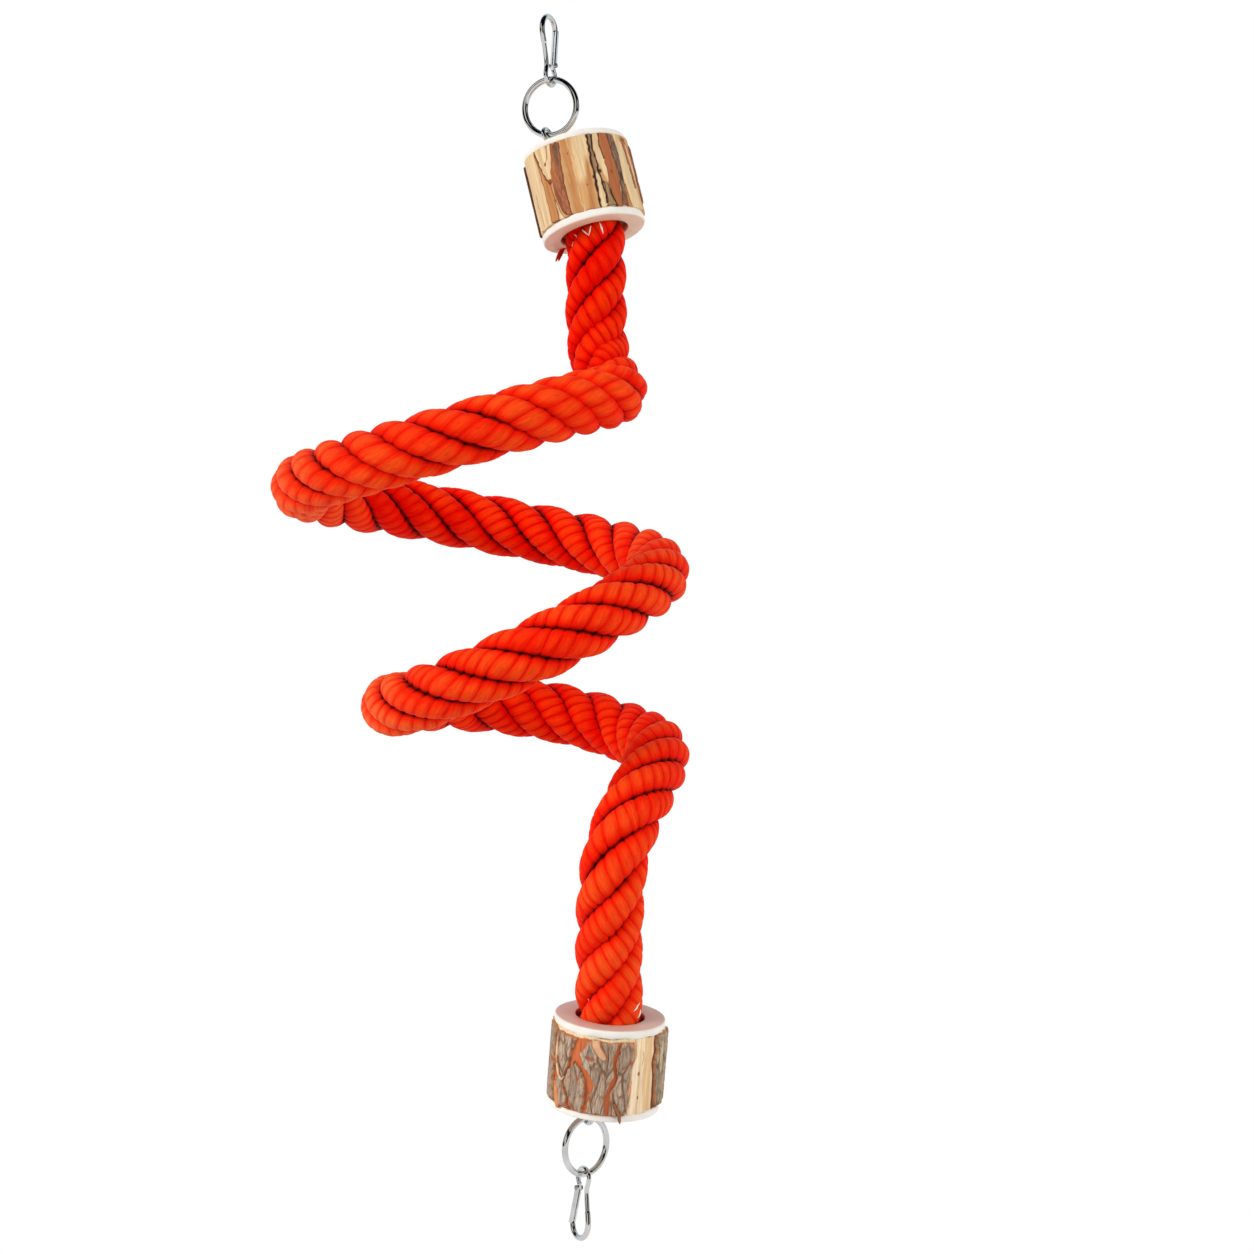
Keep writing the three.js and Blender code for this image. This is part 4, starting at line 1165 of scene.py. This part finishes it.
def inside_band(spread, height, rows, seed):
    """Millimetres from the nearest edge of a band, less than nothing outside it."""
    heights, lefts, rights = np.array(rows, float).T
    wander = 0.5 * cloud(height / 4, np.full(height.shape, seed * 3.7), BAND_SEED)
    left, right = np.interp(height, heights, lefts), np.interp(height, heights, rights)
    aside = np.minimum(spread - left, right - spread)
    ends = np.minimum(height - heights[0], heights[-1] - height)
    return np.minimum(MM_PER_DEGREE * aside + wander, BAND_END_SLOPE * ends + 0.3)


def near_line(spread, height, width, points, seed):
    """How much of a thin line of varying width covers each place."""
    heights, spreads = np.array(points, float).T
    wander = 0.5 * cloud(height / 3, np.full(height.shape, seed * 2.3), LINE_SEED)
    aside = np.abs(MM_PER_DEGREE * (spread - np.interp(height, heights, spreads)) + wander)
    half = width / 2 * (1 + 0.5 * cloud(height / 2.2, np.full(height.shape, seed * 1.9), LINE_WIDTH_SEED))
    within = (height >= heights[0]) & (height <= heights[-1])
    return np.where(within, 1 - smoothstep(aside, half - 0.25, half + 0.3), 0)


def wood_colours(spread, height, base, bands, cracks, knots, seed):
    streak = cloud(spread * MM_PER_DEGREE / 1.5, height / 40, seed)
    fine = cloud(spread * MM_PER_DEGREE / 0.8, height / 14, seed + 1)
    colour = shaded(base, 1 + 0.05 * streak + 0.03 * fine)
    sunk = np.zeros(spread.shape)
    for number, (tint, softness, outline, rows) in enumerate(bands):
        inside = inside_band(spread, height, rows, number + seed)
        band = shaded(tint, 1 + 0.05 * streak + 0.04 * fine)
        colour = mix(colour, band, smoothstep(inside, -softness, softness))
        if outline:
            rim = 1 - smoothstep(np.abs(inside), 0.1, 0.55)
            colour = mix(colour, outline, 0.75 * rim)
    for number, (tint, width, points) in enumerate(cracks):
        cover = near_line(spread, height, width, points, number + seed)
        colour = mix(colour, tint, 0.95 * cover)
        sunk = np.maximum(sunk, cover)
    for tint, middle, level, half_width, half_height in knots:
        away = np.hypot((spread - middle) * MM_PER_DEGREE / half_width, (height - level) / half_height)
        colour = mix(colour, tint, 0.85 * (1 - smoothstep(away, 0.5, 1.15)))
    return np.clip(colour, 0, 255), sunk


def inner_bark_colours(spread, height, seed):
    """Orange inner bark between the plates, and a pale rim of sapwood at the mouth."""
    streak = cloud(spread * MM_PER_DEGREE / 2, height / 12, seed)
    base = mix(INNER_BARK, DARK_INNER_BARK, smoothstep(streak, 0, 1))
    pale = 1 - smoothstep(height + 0.8 * cloud(spread / 6, height * 0, seed + 2), 7.6, 8.4)
    return mix(base, PALE_RIM, pale)


def make_log(end):
    spreads = np.linspace(-180, 180, LOG_COLUMNS, endpoint=False)
    heights = np.linspace(LOG_LOW, LOG_HIGH, round((LOG_HIGH - LOG_LOW) / LOG_ROW))
    spread, height = np.meshgrid(spreads, heights)
    seed = SEEDS[end]
    if end == "upper":
        colours, sunk = wood_colours(spread, height, TAN, UPPER_BANDS, UPPER_CRACKS, UPPER_KNOTS, seed)
    else:
        bark = inner_bark_colours(spread, height, seed)
        wood, sunk = wood_colours(spread, height, SAPWOOD, LOWER_BANDS, LOWER_CRACKS, LOWER_KNOTS, seed)
        bare = near_line(spread, height, *LOWER_CRACKS[0][1:], seed)
        for number in BARE_BANDS:
            *_, edges = LOWER_BANDS[number]
            inside = inside_band(spread, height, edges, seed + number)
            bare = np.maximum(bare, smoothstep(inside, -0.5, 0.5))
        colours = mix(bark, wood, bare)
    ragged = 1.3 * smoothstep(cloud(spread / 7, spread * 0, seed + 5), -0.5, 0.9)
    low_share = 1 - smoothstep(height, LOG_LOW, LOG_LOW + 6)
    lift = 0.25 * cloud(spread * MM_PER_DEGREE / 3, height / 25, seed + 6) - 0.6 * sunk
    outer = on_block(end, spread, height + ragged * low_share, lift)
    rims = [
        on_block(end, spreads, np.full(LOG_COLUMNS, level), radius - log_radius(end, spreads))
        for radius, level in ((BORE_RADIUS, BORE_DEPTH), (BORE_RADIUS, LOG_LOW + 0.7))
    ]
    points = np.vstack([*rims, outer.reshape(-1, 3)])
    rows = len(heights) + 2
    last = (rows - 1) * LOG_COLUMNS
    faces = grid_faces(rows, LOG_COLUMNS).tolist()
    faces += [list(range(LOG_COLUMNS)), list(range(last, last + LOG_COLUMNS))]
    log = make_piece(f"{end}_grained_log", (points, faces), WOOD, turn_outward=True)
    inner = np.tile(np.array(HONEY), (2 * LOG_COLUMNS, 1))
    paint(log, np.vstack([inner, colours.reshape(-1, 3)]))
    around = np.concatenate([spreads, spreads, spread.ravel()]) * MM_PER_DEGREE
    lay_vertex_grain(log, around, np.concatenate([np.zeros(2 * LOG_COLUMNS), height.ravel()]))
    settle(log, f"{end}_end", f"{end}_log")


def bark_surface(across, along, tint, seed):
    """Height from 0 to 1 and colour of weathered bark: long scales, fissures and fine fibres."""
    bend = 2.2 * cloud(across / 8, along / 20, seed)
    depth, number = scales((across + bend) / 6.5, along / 30, seed + 1)
    fine_depth, fine_number = scales((across + 1.5 * bend) / 1.6, along / 13, seed + 2)
    scale_top = smoothstep(depth, 0, 0.16)
    ridge = smoothstep(fine_depth, 0, 0.3)
    fibre = cloud((across + bend) / 0.6, along / 6, seed + 3)
    grit = cloud(across / 0.8, along / 0.8, seed + 8)
    level = np.clip(0.55 * scale_top + 0.3 * ridge + 0.1 * fibre + 0.05 * grit, 0, 1)
    tint = np.array(tint, float)
    top = shaded(tint, 0.9 + 0.18 * number + 0.08 * fine_number + 0.06 * fibre + 0.05 * grit)
    colour = mix(tint * np.array(BARK_VALLEY), top, ridge)
    rusty = smoothstep(cloud(across / 11, along / 13, seed + 4), 0.25, 0.6)
    fissure = mix(tint * np.array(BARK_FISSURE), RUSTY_BARK, rusty)
    return level, np.clip(mix(fissure, colour, scale_top), 0, 255)


def make_plate(end, number, thickness, tint, rows):
    heights, lefts, rights = np.array(rows, float).T
    seed = SEEDS[end] + 10 * number
    width = MM_PER_DEGREE * (rights - lefts).max()
    columns = max(8, round(width / PLATE_STEP))
    count = round((heights[-1] - heights[0]) / PLATE_STEP)
    share, part = np.meshgrid(np.linspace(0, 1, columns), np.linspace(0, 1, count))
    low = heights[0] + 0.9 * cloud(share * width / 3, share * 0, seed + 5)
    high = heights[-1] + 0.8 * cloud(share * width / 3, share * 0 + 7, seed + 5)
    height = lerp(low, high, part)
    rough = ROUGH_EDGE if thickness > ROUGH_BARK else SMOOTH_EDGE
    left = np.interp(height, heights, lefts) + rough * cloud(height / 3.1, height * 0, seed + 6)
    right = np.interp(height, heights, rights) + rough * cloud(height / 3.1, height * 0 + 9, seed + 6)
    spread = lerp(left, right, share)
    across = MM_PER_DEGREE * spread
    level, colours = bark_surface(across, height, tint, seed)
    aside = MM_PER_DEGREE * (right - left) * np.minimum(share, 1 - share)
    edge = np.minimum(aside, (heights[-1] - heights[0]) * np.minimum(part, 1 - part))
    shoulder = np.sqrt(1 - (1 - np.clip(edge / EDGE_ROUND, 0, 1)) ** 2)
    lift = 0.15 + thickness * shoulder * (0.6 + 0.4 * level)
    if thickness < THIN_BARK:
        colours = lerp(colours, np.array(tint, float), 0.45)
    for patch, softness, patch_rows in BARK_PATCHES.get((end, number), ()):
        cover = smoothstep(inside_band(spread, height, patch_rows, seed), -softness, softness)
        colours = mix(colours, shaded(patch, 0.85 + 0.2 * level), 0.85 * cover)
    if thickness > THICK_BARK:
        broken = 1 - smoothstep(edge + 0.5 * cloud(across / 1.5, height / 3, seed + 7), 0.25, 0.85)
        broken = broken * (1 - 0.7 * smoothstep(height, 60, 62))
        colours = mix(colours, BROKEN_BARK, 0.85 * broken)
    else:
        broken = 1 - smoothstep(edge, 0.2, 0.7)
        colours = mix(colours, DARK_BARK_EDGE, 0.8 * broken)
    top = on_block(end, spread, height, lift)
    under = on_block(end, spread, height, np.full(spread.shape, -0.2))
    shape = top_and_back(top, under).reshape(-1, 3), strip_faces(count, columns)
    plate = make_piece(f"{end}_ragged_bark_{number}", shape, BARK, turn_outward=True)
    paint(plate, top_and_back(colours, colours * 0.6).reshape(-1, 3))
    lay_vertex_grain(plate, top_and_back(across, across).ravel(), top_and_back(height, height).ravel())
    settle(plate, f"{end}_end", f"{end}_bark_{number}")


def disc_rings(end, inner, outer, face_level, inner_level):
    """Rings across a disc from its hole to its rim: share of the edge's colour, radius and height."""
    angles = full_turn(DISC_COLUMNS)
    into = 1 if inner_level > face_level else -1
    wave = 0.5 * cloud(angles * 8, angles * 0, SEEDS[end] + 8)
    dent = 0.25 * cloud(angles * 2.2, angles * 0 + 4, SEEDS[end] + 8)
    return [
        (0, inner, inner_level),
        (0, inner, face_level + into * 0.7),
        (0, inner + 0.25, face_level + into * 0.2),
        (0, inner + 0.8, face_level),
        (0, lerp(inner, outer, 0.5), face_level),
        (0, outer - 1.3, face_level),
        (0.35, outer - 0.75 + dent, face_level + into * 0.12),
        (0.85, outer - 0.3 + dent, face_level + into * 0.4),
        (1, outer + dent, face_level + into),
        (1, outer + dent, face_level + into * 2.5),
        (1, outer + dent * 0.5, inner_level - into * 0.7),
        (1, outer - 0.3, inner_level + into * (0.2 + wave)),
        (1, outer - 1, inner_level + into * (0.7 + wave)),
    ]


def make_discs():
    """White plates with a wavy edge against the wood and a pinkish face around the rope."""
    levels = {
        "collar_disc": (0, COLLAR_THICKNESS),
        "end_disc": (BLOCK_HEIGHT, BLOCK_HEIGHT - DISC_THICKNESS),
    }
    for end in ENDS:
        collar = (node_points(f"{end}_collar_disc") - BLOCKS[end].origin) @ BLOCKS[end].turned
        holes = {"collar_disc": np.hypot(*collar[:, :2].T).min(), "end_disc": 0.5}
        for kind, (face_level, inner_level) in levels.items():
            rings = disc_rings(end, holes[kind], ENDS[end]["disc"] / 2, face_level, inner_level)
            points, faces = lathe([ring[1:] for ring in rings], DISC_COLUMNS)
            shape = BLOCKS[end].out(points), faces
            disc = make_piece(f"{end}_smooth_{kind}", shape, DISC, turn_outward=True)
            colours = mix(DISC_FACES[end], DISC_EDGE, [share for share, *_ in rings])
            paint(disc, np.repeat(colours, DISC_COLUMNS, axis=0))
            settle(disc, f"{end}_end", f"{end}_{kind}")


def rope_tree(rope):
    """A search tree of the rope's faces around its two mouths, in millimetres."""
    points = mesh_points(rope.data)
    faces = mesh_corners(rope.data).reshape(-1, 4)
    near = np.zeros(len(points), bool)
    for place in BLOCKS.values():
        near |= np.linalg.norm(points - place.origin, axis=1) < MOUTH_REACH
    return BVHTree.FromPolygons(points.tolist(), faces[near[faces].all(axis=1)].tolist())


def sliver_line(tree, end, start, stop):
    """Points on the rope between two places at its mouth, found by rays towards the block's axis."""
    line = []
    for share in np.linspace(0, 1, SLIVER_POINTS):
        spread, away = lerp(np.array(start), np.array(stop), share)
        angle = block_angle(end, spread)
        outward = np.array([math.cos(angle), math.sin(angle), 0])
        far = BLOCKS[end].out(RAY_START * outward + (0, 0, -away))
        hit = tree.ray_cast(Vector(far), Vector(BLOCKS[end].turned @ -outward))[0]
        if hit is not None:
            line.append(np.array(hit))
    return np.array(line)


def make_glue(rope):
    tree = rope_tree(rope)
    angles = full_turn(GLUE_COLUMNS)
    for end, slivers in GLUE_SLIVERS.items():
        lip = GLUE_LOW + 1.5 * cloud(angles * 3, angles * 0, SEEDS[end] + 9)
        rings = [
            (GLUE_INNER, GLUE_HIGH), (GLUE_INNER, lip + 0.5), (lerp(GLUE_INNER, GLUE_OUTER, 0.5), lip),
            (GLUE_OUTER, lip + 0.6), (GLUE_OUTER, GLUE_HIGH),
        ]
        points, faces = lathe(rings, GLUE_COLUMNS)
        parts = [(BLOCKS[end].out(points), faces)]
        for start, stop, width in slivers:
            line = sliver_line(tree, end, start, stop)
            if len(line) >= LEAST_SLIVER_POINTS:
                swell = np.sin(math.pi * np.linspace(0.03, 0.97, len(line))) ** 0.8
                parts.append(tube(line, width / 2 * swell, SLIVER_SIDES))
        glue = make_piece(f"{end}_squeezed_glue", joined(*parts), GLUE, turn_outward=True)
        settle(glue, f"{end}_end", f"{end}_glue_sleeve")


def make_loose_yarn():
    """A short frayed end that hangs out behind the upper block's mouth."""
    start = BLOCKS["upper"].origin + np.array(LOOSE_START)
    parts, colours = [], []
    for number in range(LOOSE_FIBRES):
        sway = np.array([0.9 * math.cos(2.1 * number), 1.4 * math.sin(1.7 * number), 0])
        bends = np.array(LOOSE_BENDS) + np.array(LOOSE_SWAYS)[:, None] * sway
        line = spline([start, *(start + bends)], LOOSE_STEP)
        radius = np.interp(np.linspace(0, 1, len(line)), (0, 0.7, 1), (1.5, 1.3, 0.4))
        shape = tube(line, radius, LOOSE_SIDES)
        parts.append(shape)
        colours.append(np.tile(np.array((226 - 12 * number, 30, 14)), (len(shape[0]), 1)))
    points, faces = joined(*parts)
    yarn = make_piece("loose_yarn_end", (points, faces), ROPE_COTTON, turn_outward=True)
    paint(yarn, np.vstack(colours))
    lay_vertex_grain(yarn, points[:, 0], points[:, 2])
    settle(yarn, "upper_end")


def flake_shape(rows, thickness, columns=14, count=30):
    """A curled strip on the lower block from rows of [height, left, right, lift], and its own grid."""
    share, part = np.meshgrid(np.linspace(0, 1, columns), np.linspace(0, 1, count))
    steps = np.linspace(0, 1, len(rows))
    height, left, right, lift = (np.interp(part, steps, values) for values in np.array(rows, float).T)
    rounding = np.sqrt(np.clip(1 - np.clip((part - 0.8) / 0.2, 0, 1) ** 2, 0.02, 1))
    middle = (left + right) / 2
    spread = middle + (lerp(left, right, share) - middle) * rounding
    lift = lift + 3.6 * share * (1 - share)
    top = on_block("lower", spread, height, lift + thickness)
    under = on_block("lower", spread, height, lift)
    points = top_and_back(top, under).reshape(-1, 3)
    return (points, strip_faces(count, columns)), np.minimum(share, 1 - share), spread, height


def make_flakes():
    for name, thickness, tint, outline, rows in FLAKES:
        shape, edge, spread, height = flake_shape(rows, thickness)
        flake = make_piece(name, shape, BARK, turn_outward=True)
        share = 1 - smoothstep(top_and_back(edge, edge).ravel(), 0.05, 0.25)
        paint(flake, mix(tint, outline, share))
        across = MM_PER_DEGREE * top_and_back(spread, spread).ravel()
        lay_vertex_grain(flake, across, top_and_back(height, height).ravel())
        settle(flake, "lower_end")


def make_split_edge():
    spreads, heights = np.array(SPLIT_EDGE, float).T
    line = spline(on_block("lower", spreads, heights, SPLIT_EDGE_LIFT), SPLIT_EDGE_STEP)
    swell = np.sin(math.pi * np.linspace(0.04, 0.96, len(line))) ** 0.4
    points, faces = tube(line, SPLIT_EDGE_WIDTH / 2 * swell, SPLIT_EDGE_SIDES)
    edge = make_piece("split_edge", (points, faces), BARK, turn_outward=True)
    warmth = smoothstep(cloud(points[:, 2] / 3, points[:, 0] / 2, SPLIT_EDGE_SEED), -0.1, 0.6)
    paint(edge, mix(SPLIT_EDGE_PALE, SPLIT_EDGE_WARM, warmth))
    lay_vertex_grain(edge, points[:, 0], points[:, 2])
    settle(edge, "lower_end")


# Stage, light and camera
def make_stage():
    corners = [
        (right * FLOOR_HALF, back * FLOOR_HALF, FLOOR_HEIGHT)
        for right, back in ((-1, -1), (1, -1), (1, 1), (-1, 1))
    ]
    material, tree, shader = new_material("pale_floor", Base_Color=rgba(FLOOR_COLOUR), Roughness=0.8)
    seen = add(tree, "ShaderNodeLightPath").outputs["Is Camera Ray"]
    white = add(tree, "ShaderNodeEmission", {"Color": WHITE, "Strength": 1})
    mixed = add(tree, "ShaderNodeMixShader", {"Fac": seen, 1: shader.outputs[0], 2: white.outputs[0]})
    tree.links.new(mixed.outputs[0], tree.nodes["Material Output"].inputs["Surface"])
    make_piece("floor", (corners, [[0, 1, 2, 3]]), material)


def make_world():
    world = bpy.data.worlds.new("studio")
    world.use_nodes = True
    tree = world.node_tree
    path = add(tree, "ShaderNodeLightPath").outputs
    direction = add(tree, "ShaderNodeTexCoord").outputs["Generated"]
    depth = add(tree, "ShaderNodeSeparateXYZ", {"Vector": direction}).outputs["Y"]
    studio = ramp(tree, depth, *STUDIO_ROOM)
    for panel, size, softness, colour in STUDIO_PANELS:
        towards = {0: direction, 1: Vector(panel).normalized()}
        facing = add(tree, "ShaderNodeVectorMath", towards, operation="DOT_PRODUCT").outputs["Value"]
        reach = {"Value": facing, "From Min": size, "From Max": size + softness}
        edge = add(tree, "ShaderNodeMapRange", reach).outputs["Result"]
        shades = {"Factor": edge, "A": studio, "B": rgba(colour)}
        studio = add(tree, "ShaderNodeMix", shades, data_type="RGBA").outputs["Result"]

    def background(colour, strength):
        return add(tree, "ShaderNodeBackground", {"Color": colour, "Strength": strength}).outputs[0]

    plain, shiny, seen = background(WHITE, WORLD_STRENGTH), background(studio, 1), background(WHITE, 1)
    lit = add(tree, "ShaderNodeMixShader", {"Fac": path["Is Glossy Ray"], 1: plain, 2: shiny}).outputs[0]
    shown = add(tree, "ShaderNodeMixShader", {"Fac": path["Is Camera Ray"], 1: lit, 2: seen}).outputs[0]
    tree.links.new(shown, tree.nodes["World Output"].inputs["Surface"])
    bpy.context.scene.world = world


def make_lamps():
    for name, direction, spread, strength in SUNS:
        light = bpy.data.lights.new(name, "SUN")
        light.angle = math.radians(spread)
        light.energy = strength
        lamp = bpy.data.objects.new(name, light)
        lamp.rotation_euler = Vector(direction).to_track_quat("Z", "Y").to_euler()
        lamp.visible_glossy = False
        bpy.context.scene.collection.objects.link(lamp)


def make_camera():
    data = bpy.data.cameras.new("camera")
    data.sensor_width = SENSOR_WIDTH
    data.lens = FOCAL_PIXELS / PICTURE_PIXELS * SENSOR_WIDTH
    camera = bpy.data.objects.new("camera", data)
    camera.location = np.array(CAMERA_PLACE) * MM
    camera.rotation_euler = (math.radians(90), 0, 0)
    bpy.context.scene.collection.objects.link(camera)
    bpy.context.scene.camera = camera


def finish_plain_nodes():
    """Finishes of the small fittings that keep their packed form."""
    finishes = {**dict.fromkeys(STEEL_NODES, STEEL), "rope_whipping": TWINE}
    for end in ENDS:
        for kind, material in finishes.items():
            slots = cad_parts[f"{end}_{kind}"].data.materials
            slots.clear()
            slots.append(material)


make_camera()
make_stage()
make_world()
make_lamps()
laid_rope = make_rope()
make_clips()
make_rings()
make_eye_bolts()
for block_end in ENDS:
    make_log(block_end)
    for plate_number, plate in enumerate(BARK_PLATES[block_end], 1):
        make_plate(block_end, plate_number, *plate)
make_discs()
make_glue(laid_rope)
make_loose_yarn()
make_flakes()
make_split_edge()
finish_plain_nodes()

bpy.context.scene.view_settings.view_transform = "Standard"
